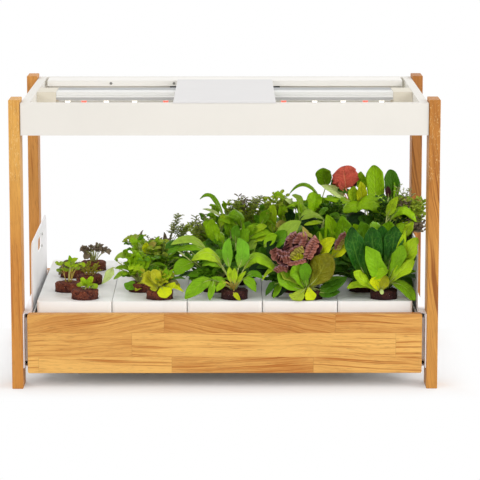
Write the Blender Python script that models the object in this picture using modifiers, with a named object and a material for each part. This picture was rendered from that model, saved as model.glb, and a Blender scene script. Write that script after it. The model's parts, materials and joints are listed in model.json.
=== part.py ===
"""Countertop hydroponic garden: oak posts and panels, a white water tank under five lift-out
growing trays, twenty-five rooted plugs with their plants, and a lamp frame with a ribbed LED bar.

Metres, +Z up. The origin is the middle of the footprint, on the floor. +X is the long side, and
the front faces -Y. Run it with blender --background --python part.py, or from the text editor.
"""

import math

import bmesh
import bpy
from mathutils import Matrix, Vector

# Driving sizes of the whole garden
WIDTH = 0.615
DEPTH = 0.385
HEIGHT = 0.420

# Fits, cuts and roundness shared by all pieces
FIT = 0.0003
OVERRUN = 0.004
FINE_SIDES = 24
PLUG_SIDES = 14
CORNER_STEPS = 4
SMOOTH_ANGLE = 40

# Oak posts and panels
POST_WIDTH = 0.016
POST_DEPTH = 0.046
OAK_CHAMFER = 0.0007
PANEL_THICKNESS = 0.016
PANEL_HEIGHT = 0.0865
PANEL_GROUND_GAP = 0.023
PANEL_SETBACK = 0.001
PANEL_END_GAP = 0.0068
PANEL_CORNER = 0.0025

# Folded side sheets with the tall end plates
SHEET = 0.002
SIDE_GROUND_GAP = 0.030
SIDE_SETBACK = 0.003
SIDE_FLANGE = 0.027
SIDE_STEP = 0.0075
END_PLATE_RISE = 0.095
END_PLATE_INSET = 0.048
END_PLATE_CORNER = 0.018
GRIP_LENGTH = 0.060
GRIP_HEIGHT = 0.021
GRIP_TOP_GAP = 0.0125
TAB_REACH = 0.015
TAB_END_GAP = 0.008
TRAY_SLOT = 0.0075

# Water tank
TANK_WALL = 0.0025
TANK_CORNER = 0.010
TANK_SIDE_GAP = 0.0008
TANK_END_GAP = 0.0030
TANK_RIM_DROP = 0.0025
TANK_RIB_HEIGHT = 0.003
TANK_RIB_WIDTH = 0.003
TANK_RIB_COUNT = 6
TANK_RIB_MARGIN = 0.030

# Growing trays
TRAY_COUNT = 5
TRAY_GAP = 0.0008
TRAY_STAND = 0.0155
TRAY_WALL = 0.002
TRAY_CORNER = 0.004
SOCKET_CLEARANCE = 0.0005
SOCKET_WALL = 0.0018
SOCKET_DEPTH = 0.030
SOCKET_LEDGE = 0.0022
SOCKET_LEDGE_WIDTH = 0.0065
TRAY_WEB = 0.0016
TRAY_WEB_DROP = 0.010

# Rooted plugs
PLUG_ROWS = 5
PLUG_RADIUS = 0.020
PLUG_TAPER = 0.0008
PLUG_PITCH = 0.059
PLUG_STAGGER = 0.014
PLUG_STAND = 0.013
PLUG_CROWN = 0.0015
FIRST_PLUG = 0.027
STEM_RADIUS = 0.0035

# Plants
PLANT_REACH = 0.146
CANOPY_GAP = 0.0012
LEAF_LOBES = 5

# Lamp frame, an upturned channel bent round a rectangle
LAMP_HEIGHT = 0.046
LAMP_DROP = 0.005
LAMP_SIDE_GAP = 0.0008
LAMP_SETBACK = 0.002
LAMP_WALL = 0.0015
CHANNEL_WIDTH = 0.0125

# LED bar, its board and its end brackets
BAR_DEPTH = 0.062
BAR_HEIGHT = 0.0115
BAR_FORWARD = 0.008
BAR_END_GAP = 0.0287
BAR_GROOVES = 6
BAR_GROOVE_WIDTH = 0.005
BAR_GROOVE_DEPTH = 0.0035
BAR_SIDE_GROOVE = 0.0012
BOARD_THICKNESS = 0.0016
BOARD_MARGIN = 0.003
EMITTER_RADIUS = 0.0052
EMITTER_DROP = 0.0042
EMITTER_ROWS = 3
EMITTER_SIDES = 6
EMITTER_SHARES = (0.16, 0.355, 0.542, 0.713, 0.847, 0.945)
BRACKET_HEIGHT = 0.026
BRACKET_WALL = 0.0015

# Control cover with its circuit board
COVER_WIDTH = 0.146
COVER_THICKNESS = 0.0015
COVER_LIP = 0.006
COVER_BOSS_RADIUS = 0.003
COVER_BOSS_LENGTH = 0.009
CONTROL_WIDTH = 0.110
CONTROL_DEPTH = 0.080
CONTROL_BOSS_INSET = 0.008
CHIP_OFFSET = 0.022
CHIP_SIZE = 0.018
CHIP_HEIGHT = 0.003
RELAY_SIZE = 0.026
RELAY_HEIGHT = 0.012

# Rear bay: cover, lamp driver and power inlet
REAR_BAY_DEPTH = 0.0512
REAR_LIP = 0.0085
REAR_END_GAP = 0.004
DRIVER_WIDTH = 0.170
DRIVER_DEPTH = 0.038
DRIVER_HEIGHT = 0.022
DRIVER_CHAMFER = 0.002
INLET_RADIUS = 0.0065
INLET_FLANGE_RADIUS = 0.009
INLET_FLANGE = 0.0012
INLET_LENGTH = 0.010
INLET_BORE_RADIUS = 0.0035
INLET_BORE_DEPTH = 0.008
INLET_OFFSET = 0.190

# Circulation pump on the tank floor
PUMP_WIDTH = 0.044
PUMP_DEPTH = 0.034
PUMP_HEIGHT = 0.042
PUMP_ROUNDING = 0.005
PUMP_REAR_GAP = 0.012
CHAMBER_RADIUS = 0.014
CHAMBER_DEPTH = 0.015
SPOUT_RADIUS = 0.0055
SPOUT_BORE_RADIUS = 0.0038
SPOUT_LENGTH = 0.006
SPOUT_SETBACK = 0.009
IMPELLER_RADIUS = 0.012
IMPELLER_DISC = 0.002
IMPELLER_BLADES = 6
BLADE_HEIGHT = 0.007
BLADE_THICKNESS = 0.0016
HUB_RADIUS = 0.004
SHAFT_RADIUS = 0.0016
SHAFT_LENGTH = 0.008
SHAFT_PLAY = 0.0001
GRILLE_THICKNESS = 0.002
GRILLE_SLOTS = 5
GRILLE_SLOT_WIDTH = 0.0025

# Water level float
FLOAT_RADIUS = 0.013
FLOAT_HEIGHT = 0.014
FLOAT_PLAY = 0.0006
FLOAT_TRAVEL = 0.026
STEM_TUBE_RADIUS = 0.0045
STEM_FOOT_RADIUS = 0.012
STEM_FOOT = 0.003
STEM_CAP = 0.002
STEM_CAP_RADIUS = 0.007

# Places worked out from the sizes above
POST_INNER = WIDTH / 2 - POST_WIDTH
PANEL_TOP = PANEL_GROUND_GAP + PANEL_HEIGHT
PANEL_BACK = DEPTH / 2 - PANEL_SETBACK - PANEL_THICKNESS
SIDE_OUTER = POST_INNER - FIT
END_PLATE_OUTER = SIDE_OUTER - SHEET - SIDE_STEP
END_PLATE_INNER = END_PLATE_OUTER - SHEET
END_PLATE_TOP = PANEL_TOP + END_PLATE_RISE
END_PLATE_REACH = DEPTH / 2 - END_PLATE_INSET
TANK_REACH_X = END_PLATE_INNER - TANK_SIDE_GAP
TANK_REACH_Y = PANEL_BACK - TANK_END_GAP
TANK_BOTTOM = SIDE_GROUND_GAP + SHEET + FIT
TANK_TOP = PANEL_TOP - TANK_RIM_DROP
TANK_FLOOR = TANK_BOTTOM + TANK_WALL
TRAY_TOP = PANEL_TOP + TRAY_STAND
TRAY_BOTTOM = TANK_TOP + FIT
TRAY_HEIGHT = TRAY_TOP - TRAY_BOTTOM
TRAY_PITCH = 2 * (END_PLATE_INNER - TRAY_SLOT) / TRAY_COUNT
TRAY_WIDTH = TRAY_PITCH - TRAY_GAP
TRAY_DEPTH = 2 * (PANEL_BACK - TANK_END_GAP)
SOCKET_RADIUS = PLUG_RADIUS + SOCKET_CLEARANCE
PLUG_BOTTOM = TRAY_TOP - SOCKET_DEPTH + FIT
PLUG_TOP = TRAY_TOP + PLUG_STAND
CELL_X = TRAY_WIDTH / 2 - CANOPY_GAP / 2
CELL_Y = PLUG_PITCH / 2 - CANOPY_GAP / 2
LAMP_TOP = HEIGHT - LAMP_DROP
LAMP_BOTTOM = LAMP_TOP - LAMP_HEIGHT
LAMP_REACH_X = POST_INNER - LAMP_SIDE_GAP
LAMP_REACH_Y = DEPTH / 2 - LAMP_SETBACK
LAMP_INNER_X = LAMP_REACH_X - CHANNEL_WIDTH
LAMP_INNER_Y = LAMP_REACH_Y - CHANNEL_WIDTH
BAR_REACH = LAMP_INNER_X - BAR_END_GAP
BAR_FRONT = -BAR_FORWARD - BAR_DEPTH / 2
BAR_REAR = BAR_DEPTH / 2 - BAR_FORWARD
BAR_BOTTOM = LAMP_TOP - BAR_HEIGHT
BOARD_TOP = BAR_BOTTOM - FIT
COVER_BOTTOM = LAMP_TOP + FIT
BAY_FRONT = LAMP_INNER_Y - REAR_BAY_DEPTH
TANK_BAY_X = (TANK_REACH_X - TANK_RIB_MARGIN) * (1 - 1 / (TANK_RIB_COUNT - 1))
PUMP_Y = TANK_REACH_Y - TANK_WALL - PUMP_REAR_GAP - PUMP_DEPTH / 2
PUMP_BOTTOM = TANK_FLOOR + FIT
CHAMBER_Z = PUMP_BOTTOM + PUMP_HEIGHT / 2

# Plant outlines, from the stem to the middle of the crown, as shares: how far each ring stands
# out to the edge of its growing cell, how high it is on the plant, and how deep its lobes are.
SEEDLING_SHARES = (
    (0.20, 0.40, 0.0), (0.80, 0.62, 0.35), (1.00, 0.80, 0.45), (0.62, 1.00, 0.35), (0.20, 0.84, 0.0),
)
ROSETTE_SHARES = (
    (0.24, 0.12, 0.0), (0.78, 0.26, 0.12), (1.00, 0.60, 0.16),
    (0.90, 0.96, 0.20), (0.46, 1.00, 0.10), (0.14, 0.90, 0.0),
)
UPRIGHT_SHARES = (
    (0.26, 0.10, 0.0), (0.74, 0.32, 0.12), (1.00, 0.66, 0.16),
    (0.84, 0.94, 0.20), (0.44, 1.00, 0.12), (0.14, 0.92, 0.0),
)
BUSH_SHARES = (
    (0.24, 0.10, 0.0), (0.84, 0.28, 0.14), (1.00, 0.54, 0.16),
    (0.90, 0.82, 0.18), (0.50, 1.00, 0.14), (0.14, 0.94, 0.0),
)
PLANT_OUTLINE_SHARES = {
    "seedling": SEEDLING_SHARES,
    "rosette": ROSETTE_SHARES,
    "upright": UPRIGHT_SHARES,
    "bush": BUSH_SHARES,
}

# What grows where, tray by tray from the left and row by row from the front: the outline, the
# height as a share of the tallest plant, and the spread as a share of the growing cell.
PLANT_SHARES = (
    (("seedling", 0.12, 0.22), ("seedling", 0.27, 0.26), ("seedling", 0.12, 0.28), ("seedling", 0.10, 0.30),
     ("seedling", 0.19, 0.30)),
    (("rosette", 0.26, 0.46), ("rosette", 0.36, 0.62), ("bush", 0.38, 0.60), ("rosette", 0.42, 0.74),
     ("bush", 0.52, 0.82)),
    (("upright", 0.50, 0.84), ("rosette", 0.44, 0.94), ("rosette", 0.50, 0.96), ("bush", 0.60, 0.94),
     ("upright", 0.72, 0.96)),
    (("rosette", 0.44, 0.90), ("rosette", 0.52, 1.00), ("rosette", 0.68, 1.00), ("upright", 0.84, 1.00),
     ("upright", 1.00, 0.98)),
    (("upright", 0.68, 0.98), ("rosette", 0.66, 1.00), ("upright", 0.80, 1.00), ("bush", 0.88, 1.00),
     ("upright", 1.00, 0.94)),
)


def emptied_scene():
    """Removes what the scene holds and gives the two collections, for parts and for cutters."""
    for obj in list(bpy.data.objects):
        bpy.data.objects.remove(obj, do_unlink=True)
    collections = []
    for name in ("Hydroponic_Garden", "Cutters"):
        collection = bpy.data.collections.new(name)
        bpy.context.scene.collection.children.link(collection)
        collections.append(collection)
    return collections


PARTS, CUTTERS = emptied_scene()


def finish(name, colour, roughness, metallic=0.0):
    """A plain Principled material."""
    material = bpy.data.materials.new(name)
    material.use_nodes = True
    shader = material.node_tree.nodes["Principled BSDF"]
    shader.inputs["Base Color"].default_value = (*colour, 1.0)
    shader.inputs["Roughness"].default_value = roughness
    shader.inputs["Metallic"].default_value = metallic
    material.diffuse_color = (*colour, 1.0)
    return material


OAK = finish("oak", (0.62, 0.36, 0.14), 0.5)
WHITE_STEEL = finish("white_steel", (0.86, 0.85, 0.85), 0.45)
CREAM_STEEL = finish("cream_steel", (0.90, 0.88, 0.82), 0.45)
WHITE_PLASTIC = finish("white_plastic", (0.92, 0.92, 0.91), 0.35)
ALUMINIUM = finish("aluminium", (0.78, 0.78, 0.78), 0.35, 1.0)
LED_WHITE = finish("led_white", (0.95, 0.95, 0.92), 0.3)
CIRCUIT = finish("circuit", (0.05, 0.22, 0.10), 0.4)
DARK_PLASTIC = finish("dark_plastic", (0.05, 0.05, 0.055), 0.5)
SOIL_AND_LEAF = finish("soil_and_leaf", (0.16, 0.30, 0.06), 0.8)
FLOAT_BLUE = finish("float_plastic", (0.30, 0.42, 0.55), 0.45)


def add_object(name, bm, material=None, location=(0, 0, 0)):
    """Makes an object of a bmesh. Without a material it is a cutter or a guide."""
    bmesh.ops.recalc_face_normals(bm, faces=bm.faces)
    mesh = bpy.data.meshes.new(name)
    bm.to_mesh(mesh)
    bm.free()
    obj = bpy.data.objects.new(name, mesh)
    obj.location = location
    if material:
        mesh.materials.append(material)
        PARTS.objects.link(obj)
    else:
        obj.hide_render = True
        obj.display_type = "WIRE"
        CUTTERS.objects.link(obj)
    return obj


def block(name, size, location, material=None):
    """A box of the given size, centred on its location."""
    bm = bmesh.new()
    bmesh.ops.create_cube(bm, size=1, matrix=Matrix.Diagonal((*size, 1)))
    return add_object(name, bm, material, location)


def block_between(name, low, high, material=None):
    """A box from its lowest to its highest corner."""
    size = [top - bottom for bottom, top in zip(low, high)]
    middle = [(top + bottom) / 2 for bottom, top in zip(low, high)]
    return block(name, size, middle, material)


TURNS = {
    "X": Matrix.Rotation(math.pi / 2, 4, "Y"),
    "Y": Matrix.Rotation(-math.pi / 2, 4, "X"),
    "Z": Matrix.Identity(4),
}


def drum(name, radius, length, location, material=None, axis="Z", sides=FINE_SIDES, end_radius=None):
    """A cylinder or cone frustum, centred on its location, whose far end may differ in radius."""
    bm = bmesh.new()
    far = radius if end_radius is None else end_radius
    bmesh.ops.create_cone(bm, cap_ends=True, segments=sides, radius1=radius, radius2=far, depth=length,
                          matrix=TURNS[axis])
    obj = add_object(name, bm, material, location)
    obj.data.shade_smooth()
    obj.data.set_sharp_from_angle(angle=math.radians(SMOOTH_ANGLE))
    return obj


def prism(name, outline, low, high, axis="X", material=None, location=(0, 0, 0)):
    """A flat outline extruded along one axis; the outline's points are in the other two, in order."""
    place = {
        "X": lambda a, b, along: (along, a, b),
        "Y": lambda a, b, along: (a, along, b),
        "Z": lambda a, b, along: (a, b, along),
    }[axis]
    bm = bmesh.new()
    base = bm.faces.new([bm.verts.new(place(a, b, low)) for a, b in outline])
    grown = bmesh.ops.extrude_face_region(bm, geom=[base])
    moved = [item for item in grown["geom"] if isinstance(item, bmesh.types.BMVert)]
    bmesh.ops.translate(bm, verts=moved, vec=Vector(place(0, 0, high - low)))
    return add_object(name, bm, material, location)


def rounded_rectangle(reach_x, reach_y, radius, steps=CORNER_STEPS):
    """Points round a rectangle with round corners, anticlockwise."""
    points = []
    for corner, (sx, sy) in enumerate(((1, 1), (-1, 1), (-1, -1), (1, -1))):
        for step in range(steps + 1):
            angle = (corner + step / steps) * math.pi / 2
            points.append((sx * (reach_x - radius) + radius * math.cos(angle),
                           sy * (reach_y - radius) + radius * math.sin(angle)))
    return points


def chamfer(obj, width, segments=1):
    """Bevels the sharp edges of a piece."""
    bevel = obj.modifiers.new("Bevel", "BEVEL")
    bevel.width = width
    bevel.segments = segments
    bevel.limit_method = "ANGLE"
    return obj


def round_corners(obj, radius):
    """Rounds the four edges of a board that run from its front to its back."""
    bm = bmesh.new()
    bm.from_mesh(obj.data)
    edges = []
    for edge in bm.edges:
        first, second = (vert.co for vert in edge.verts)
        if abs(first.y - second.y) > max(abs(first.x - second.x), abs(first.z - second.z)):
            edges.append(edge)
    bmesh.ops.bevel(bm, geom=edges, offset=radius, segments=CORNER_STEPS, profile=0.5, affect="EDGES")
    bm.to_mesh(obj.data)
    bm.free()


def thicken(obj, thickness, side=-1):
    """Turns an open surface into a wall of even thickness, on its inner side by default."""
    wall = obj.modifiers.new("Solidify", "SOLIDIFY")
    wall.thickness = thickness
    wall.offset = side
    wall.use_even_offset = True
    wall.use_quality_normals = True
    return obj


def combine(obj, other, operation="DIFFERENCE"):
    """Cuts another solid away from a piece, or joins it on."""
    step = obj.modifiers.new(other.name, "BOOLEAN")
    step.operation = operation
    step.object = other
    step.solver = "EXACT"
    if other.name in PARTS.objects:
        PARTS.objects.unlink(other)
        CUTTERS.objects.link(other)
    other.hide_render = True
    other.display_type = "WIRE"
    return obj


def baked_mesh(obj):
    """The piece's mesh with its modifiers applied, for copies to share."""
    bpy.context.view_layer.update()
    graph = bpy.context.evaluated_depsgraph_get()
    mesh = bpy.data.meshes.new_from_object(obj.evaluated_get(graph))
    mesh.name = obj.name + "_mesh"
    return mesh


def swept_sheet(name, outline, reach, axis, thickness, material):
    """A sheet bent along an open outline and as long as twice its reach."""
    bm = bmesh.new()
    rows = []
    for along in (-reach, reach):
        if axis == "Y":
            rows.append([bm.verts.new((a, along, b)) for a, b in outline])
        else:
            rows.append([bm.verts.new((along, a, b)) for a, b in outline])
    for near, far, far_next, near_next in zip(rows[0], rows[1], rows[1][1:], rows[0][1:]):
        bm.faces.new((near, far, far_next, near_next))
    mesh = bpy.data.meshes.new(name)
    bm.to_mesh(mesh)
    bm.free()
    obj = bpy.data.objects.new(name, mesh)
    mesh.materials.append(material)
    PARTS.objects.link(obj)
    return thicken(obj, thickness)


def tub(name, reach_x, reach_y, height, radius, wall, material, location, upside_down=False):
    """A thin open box with round corners, from its outer sizes. Its closed side is at its location."""
    bm = bmesh.new()
    ring = rounded_rectangle(reach_x, reach_y, radius)
    closed = bm.faces.new([bm.verts.new((x, y, 0)) for x, y in ring])
    grown = bmesh.ops.extrude_edge_only(bm, edges=list(closed.edges))
    moved = [item for item in grown["geom"] if isinstance(item, bmesh.types.BMVert)]
    rise = -height if upside_down else height
    bmesh.ops.translate(bm, verts=moved, vec=Vector((0, 0, rise)))
    obj = add_object(name, bm, material, location)
    return thicken(obj, wall)


def build_posts():
    """Four flat oak boards on edge that carry everything."""
    for side, sx in (("left", -1), ("right", 1)):
        for end, sy in (("front", -1), ("rear", 1)):
            place = (sx * (WIDTH - POST_WIDTH) / 2, sy * (DEPTH - POST_DEPTH) / 2, HEIGHT / 2)
            post = block(f"post_{end}_{side}", (POST_WIDTH, POST_DEPTH, HEIGHT), place, OAK)
            chamfer(post, OAK_CHAMFER)


def build_panels():
    """The edge-glued oak boards between the posts, in front of and behind the tank."""
    length = 2 * (POST_INNER - PANEL_END_GAP)
    for name, sy in (("front_panel", -1), ("rear_panel", 1)):
        place = (0, sy * (PANEL_BACK + PANEL_THICKNESS / 2), PANEL_GROUND_GAP + PANEL_HEIGHT / 2)
        panel = block(name, (length, PANEL_THICKNESS, PANEL_HEIGHT), place, OAK)
        round_corners(panel, PANEL_CORNER)
        chamfer(panel, OAK_CHAMFER)


def end_plate_waste(name, x, sy):
    """What is cut away beside and above one round corner of an end plate."""
    edge = sy * END_PLATE_REACH
    outline = [(edge, PANEL_TOP)]
    for step in range(CORNER_STEPS + 1):
        angle = step / CORNER_STEPS * math.pi / 2
        outline.append((edge - sy * END_PLATE_CORNER * (1 - math.cos(angle)),
                        END_PLATE_TOP - END_PLATE_CORNER * (1 - math.sin(angle))))
    outline.append((edge - sy * END_PLATE_CORNER, END_PLATE_TOP + OVERRUN))
    outline.append((sy * (DEPTH / 2 + OVERRUN), END_PLATE_TOP + OVERRUN))
    outline.append((sy * (DEPTH / 2 + OVERRUN), PANEL_TOP))
    return prism(name, outline, x - SHEET - OVERRUN / 2, x + SHEET + OVERRUN / 2)


def grip_cutter(name, x):
    """The stadium-shaped hand hole of an end plate."""
    radius = GRIP_HEIGHT / 2
    middle = END_PLATE_TOP - GRIP_TOP_GAP - radius
    outline = [(y, middle + z) for y, z in rounded_rectangle(GRIP_LENGTH / 2, radius, radius - FIT)]
    return prism(name, outline, x - SHEET - OVERRUN, x + SHEET + OVERRUN)


def build_side_frames():
    """One folded sheet on each side: tank flange, wall, step and the tall plate with its hand hole."""
    for side, sx in (("left", -1), ("right", 1)):
        outline = [(SIDE_OUTER - SIDE_FLANGE, SIDE_GROUND_GAP), (SIDE_OUTER, SIDE_GROUND_GAP),
                   (SIDE_OUTER, PANEL_TOP), (END_PLATE_OUTER, PANEL_TOP), (END_PLATE_OUTER, END_PLATE_TOP)]
        outline = [(sx * x, z) for x, z in outline]
        reach = DEPTH / 2 - SIDE_SETBACK
        frame = swept_sheet(f"side_frame_{side}", outline, reach, "Y", SHEET, WHITE_STEEL)
        frame.modifiers["Solidify"].offset = -sx
        for end, sy in (("front", -1), ("rear", 1)):
            waste = end_plate_waste(f"waste_{side}_{end}", sx * END_PLATE_OUTER, sy)
            combine(frame, waste)
            inner = (SIDE_OUTER - SIDE_FLANGE - OVERRUN, SIDE_OUTER - SHEET + FIT)
            outer_y = (PANEL_BACK - FIT, DEPTH / 2 + OVERRUN)
            relief = block_between(f"panel_relief_{side}_{end}",
                                   (min(sx * inner[0], sx * inner[1]), min(sy * outer_y[0], sy * outer_y[1]),
                                    SIDE_GROUND_GAP - OVERRUN),
                                   (max(sx * inner[0], sx * inner[1]), max(sy * outer_y[0], sy * outer_y[1]),
                                    PANEL_TOP + OVERRUN))
            combine(frame, relief)
            tab_x = (SIDE_OUTER - SHEET - TAB_REACH, SIDE_OUTER - SHEET / 2)
            tab_y = (PANEL_BACK - FIT - SHEET, PANEL_BACK - FIT)
            low = (min(sx * tab_x[0], sx * tab_x[1]), min(sy * tab_y[0], sy * tab_y[1]),
                   SIDE_GROUND_GAP + TAB_END_GAP)
            high = (max(sx * tab_x[0], sx * tab_x[1]), max(sy * tab_y[0], sy * tab_y[1]),
                    PANEL_TOP - TAB_END_GAP)
            combine(frame, block_between(f"tab_{side}_{end}", low, high), "UNION")
        combine(frame, grip_cutter(f"grip_{side}", sx * END_PLATE_OUTER))


def build_tank():
    """The nutrient tank: one wide tub with low ribs across its floor."""
    height = TANK_TOP - TANK_BOTTOM
    tank = tub("water_tank", TANK_REACH_X, TANK_REACH_Y, height, TANK_CORNER, TANK_WALL, WHITE_PLASTIC,
               (0, 0, TANK_BOTTOM))
    reach = TANK_REACH_X - TANK_RIB_MARGIN
    size = (TANK_RIB_WIDTH, 2 * TANK_REACH_Y - TANK_WALL, TANK_RIB_HEIGHT + TANK_WALL / 2)
    bm = bmesh.new()
    for index in range(TANK_RIB_COUNT):
        x = reach * (2 * index / (TANK_RIB_COUNT - 1) - 1)
        place = Matrix.Translation((x, 0, TANK_FLOOR + (TANK_RIB_HEIGHT - TANK_WALL / 2) / 2))
        bmesh.ops.create_cube(bm, size=1, matrix=place @ Matrix.Diagonal((*size, 1)))
    combine(tank, add_object("tank_ribs", bm), "UNION")


def plug_place(row):
    """A plug's place on its tray: how far from the tray's middle to the side and to the back."""
    x = PLUG_STAGGER if row % 2 == 0 else -PLUG_STAGGER
    y = -TRAY_DEPTH / 2 + FIRST_PLUG + row * PLUG_PITCH
    return x, y


def build_trays():
    """Five lift-out trays: a shallow lid with skirts, five open-bottomed sockets and webs between them."""
    tray = tub("tray_1", TRAY_WIDTH / 2, TRAY_DEPTH / 2, TRAY_HEIGHT, TRAY_CORNER, TRAY_WALL, WHITE_PLASTIC,
               (0, 0, TRAY_TOP), upside_down=True)
    cup_length = SOCKET_DEPTH + SOCKET_LEDGE - TRAY_WALL / 2
    cup_z = TRAY_TOP - TRAY_WALL / 2 - cup_length / 2
    bore_length = SOCKET_DEPTH + OVERRUN
    bore_z = TRAY_TOP - SOCKET_DEPTH + bore_length / 2
    for row in range(PLUG_ROWS):
        x, y = plug_place(row)
        cup = drum(f"cup_{row}", SOCKET_RADIUS + SOCKET_WALL, cup_length, (x, y, cup_z), sides=PLUG_SIDES)
        combine(tray, cup, "UNION")
    for row in range(PLUG_ROWS - 1):
        (x, y), (next_x, next_y) = plug_place(row), plug_place(row + 1)
        length = math.hypot(next_x - x, next_y - y) - 2 * SOCKET_RADIUS
        size = (TRAY_WEB, length, TRAY_WEB_DROP)
        middle = ((x + next_x) / 2, (y + next_y) / 2, TRAY_TOP - (TRAY_WALL + TRAY_WEB_DROP) / 2)
        web = block(f"web_{row}", size, middle)
        web.rotation_euler.z = math.atan2(x - next_x, next_y - y)
        combine(tray, web, "UNION")
    for row in range(PLUG_ROWS):
        x, y = plug_place(row)
        bore = drum(f"bore_{row}", SOCKET_RADIUS, bore_length, (x, y, bore_z), sides=PLUG_SIDES)
        combine(tray, bore)
        drain = drum(f"drain_{row}", SOCKET_RADIUS - SOCKET_LEDGE_WIDTH, bore_length + 2 * OVERRUN,
                     (x, y, bore_z - OVERRUN), sides=PLUG_SIDES)
        combine(tray, drain)
    shared = baked_mesh(tray)
    bpy.data.objects.remove(tray, do_unlink=True)
    for index in range(TRAY_COUNT):
        copy = bpy.data.objects.new(f"tray_{index + 1}", shared)
        copy.location = (tray_x(index), 0, TRAY_TOP)
        PARTS.objects.link(copy)


def tray_x(index):
    """The middle of a tray across the garden."""
    return (index - (TRAY_COUNT - 1) / 2) * TRAY_PITCH


def plant_ring(centre, reach, z, lobe, phase):
    """One ring of a plant, drawn in between its lobes."""
    points = []
    for side in range(PLUG_SIDES):
        angle = (2 * side + 1) * math.pi / PLUG_SIDES
        swell = 1 - lobe * (1 - math.cos(LEAF_LOBES * angle + phase)) / 2
        points.append((centre[0] + reach[0] * swell * math.cos(angle),
                       centre[1] + reach[1] * swell * math.sin(angle), z))
    return points


def plug_rings(row, kind, height_share, spread_share, phase):
    """The rings of a rooted plug, from its foot up through the stem and over the leaves."""
    x, y = plug_place(row)
    foot = PLUG_RADIUS - PLUG_TAPER
    rings = [plant_ring((0, 0), (foot, foot), PLUG_BOTTOM, 0, 0),
             plant_ring((0, 0), (PLUG_RADIUS, PLUG_RADIUS), PLUG_TOP, 0, 0),
             plant_ring((0, 0), (STEM_RADIUS, STEM_RADIUS), PLUG_TOP + PLUG_CROWN, 0, 0)]
    height = height_share * PLANT_REACH
    for reach_share, rise_share, lobe_share in PLANT_OUTLINE_SHARES[kind]:
        lean = -x * min(1, rise_share * 2) * spread_share
        reach = [max(STEM_RADIUS, reach_share * spread_share * cell) for cell in (CELL_X, CELL_Y)]
        z = PLUG_TOP + PLUG_CROWN + rise_share * height
        rings.append(plant_ring((lean, 0), reach, z, lobe_share, phase))
    return (x, y), rings


def build_plugs():
    """Twenty-five root plugs, each one living piece with the plant that it feeds."""
    for tray in range(TRAY_COUNT):
        for row in range(PLUG_ROWS):
            phase = tray + 2 * row
            (x, y), rings = plug_rings(row, *PLANT_SHARES[tray][row], phase)
            bm = bmesh.new()
            loops = [[bm.verts.new(point) for point in ring] for ring in rings]
            for lower, upper in zip(loops, loops[1:]):
                for side in range(PLUG_SIDES):
                    after = (side + 1) % PLUG_SIDES
                    bm.faces.new((lower[side], lower[after], upper[after], upper[side]))
            bm.faces.new(loops[0])
            bm.faces.new(loops[-1])
            add_object(f"plug_{tray + 1}_{row + 1}", bm, SOIL_AND_LEAF, (tray_x(tray) + x, y, 0))


def build_lamp_frame():
    """The lamp's rectangular ring: a channel, open below, between the four posts."""
    bm = bmesh.new()
    loops = []
    section = ((LAMP_REACH_X, LAMP_REACH_Y, LAMP_BOTTOM), (LAMP_REACH_X, LAMP_REACH_Y, LAMP_TOP),
               (LAMP_INNER_X, LAMP_INNER_Y, LAMP_TOP), (LAMP_INNER_X, LAMP_INNER_Y, LAMP_BOTTOM))
    for reach_x, reach_y, z in section:
        corners = ((1, 1), (-1, 1), (-1, -1), (1, -1))
        loops.append([bm.verts.new((sx * reach_x, sy * reach_y, z)) for sx, sy in corners])
    for lower, upper in zip(loops, loops[1:]):
        for corner in range(4):
            after = (corner + 1) % 4
            bm.faces.new((lower[corner], lower[after], upper[after], upper[corner]))
    frame = add_object("lamp_frame", bm, CREAM_STEEL)
    thicken(frame, LAMP_WALL)
    hole = drum("inlet_hole", INLET_RADIUS + FIT, 2 * (LAMP_WALL + OVERRUN),
                (INLET_OFFSET, LAMP_REACH_Y, LAMP_BOTTOM + LAMP_HEIGHT / 2), axis="Y")
    combine(frame, hole)


def bar_outline():
    """The LED bar's section: cooling grooves along its top and one line along each edge."""
    pitch = BAR_DEPTH / (BAR_GROOVES + 1)
    line = BAR_HEIGHT / 2
    points = [(BAR_DEPTH / 2, 0), (BAR_DEPTH / 2, line - BAR_SIDE_GROOVE),
              (BAR_DEPTH / 2 - BAR_SIDE_GROOVE, line), (BAR_DEPTH / 2, line + BAR_SIDE_GROOVE),
              (BAR_DEPTH / 2, BAR_HEIGHT)]
    for index in range(BAR_GROOVES):
        middle = BAR_DEPTH / 2 - (index + 1) * pitch
        floor = BAR_HEIGHT - BAR_GROOVE_DEPTH
        points += [(middle + BAR_GROOVE_WIDTH / 2, BAR_HEIGHT), (middle + BAR_GROOVE_WIDTH / 2, floor),
                   (middle - BAR_GROOVE_WIDTH / 2, floor), (middle - BAR_GROOVE_WIDTH / 2, BAR_HEIGHT)]
    points += [(-BAR_DEPTH / 2, BAR_HEIGHT), (-BAR_DEPTH / 2, line + BAR_SIDE_GROOVE),
               (-BAR_DEPTH / 2 + BAR_SIDE_GROOVE, line), (-BAR_DEPTH / 2, line - BAR_SIDE_GROOVE),
               (-BAR_DEPTH / 2, 0)]
    return points


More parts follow.
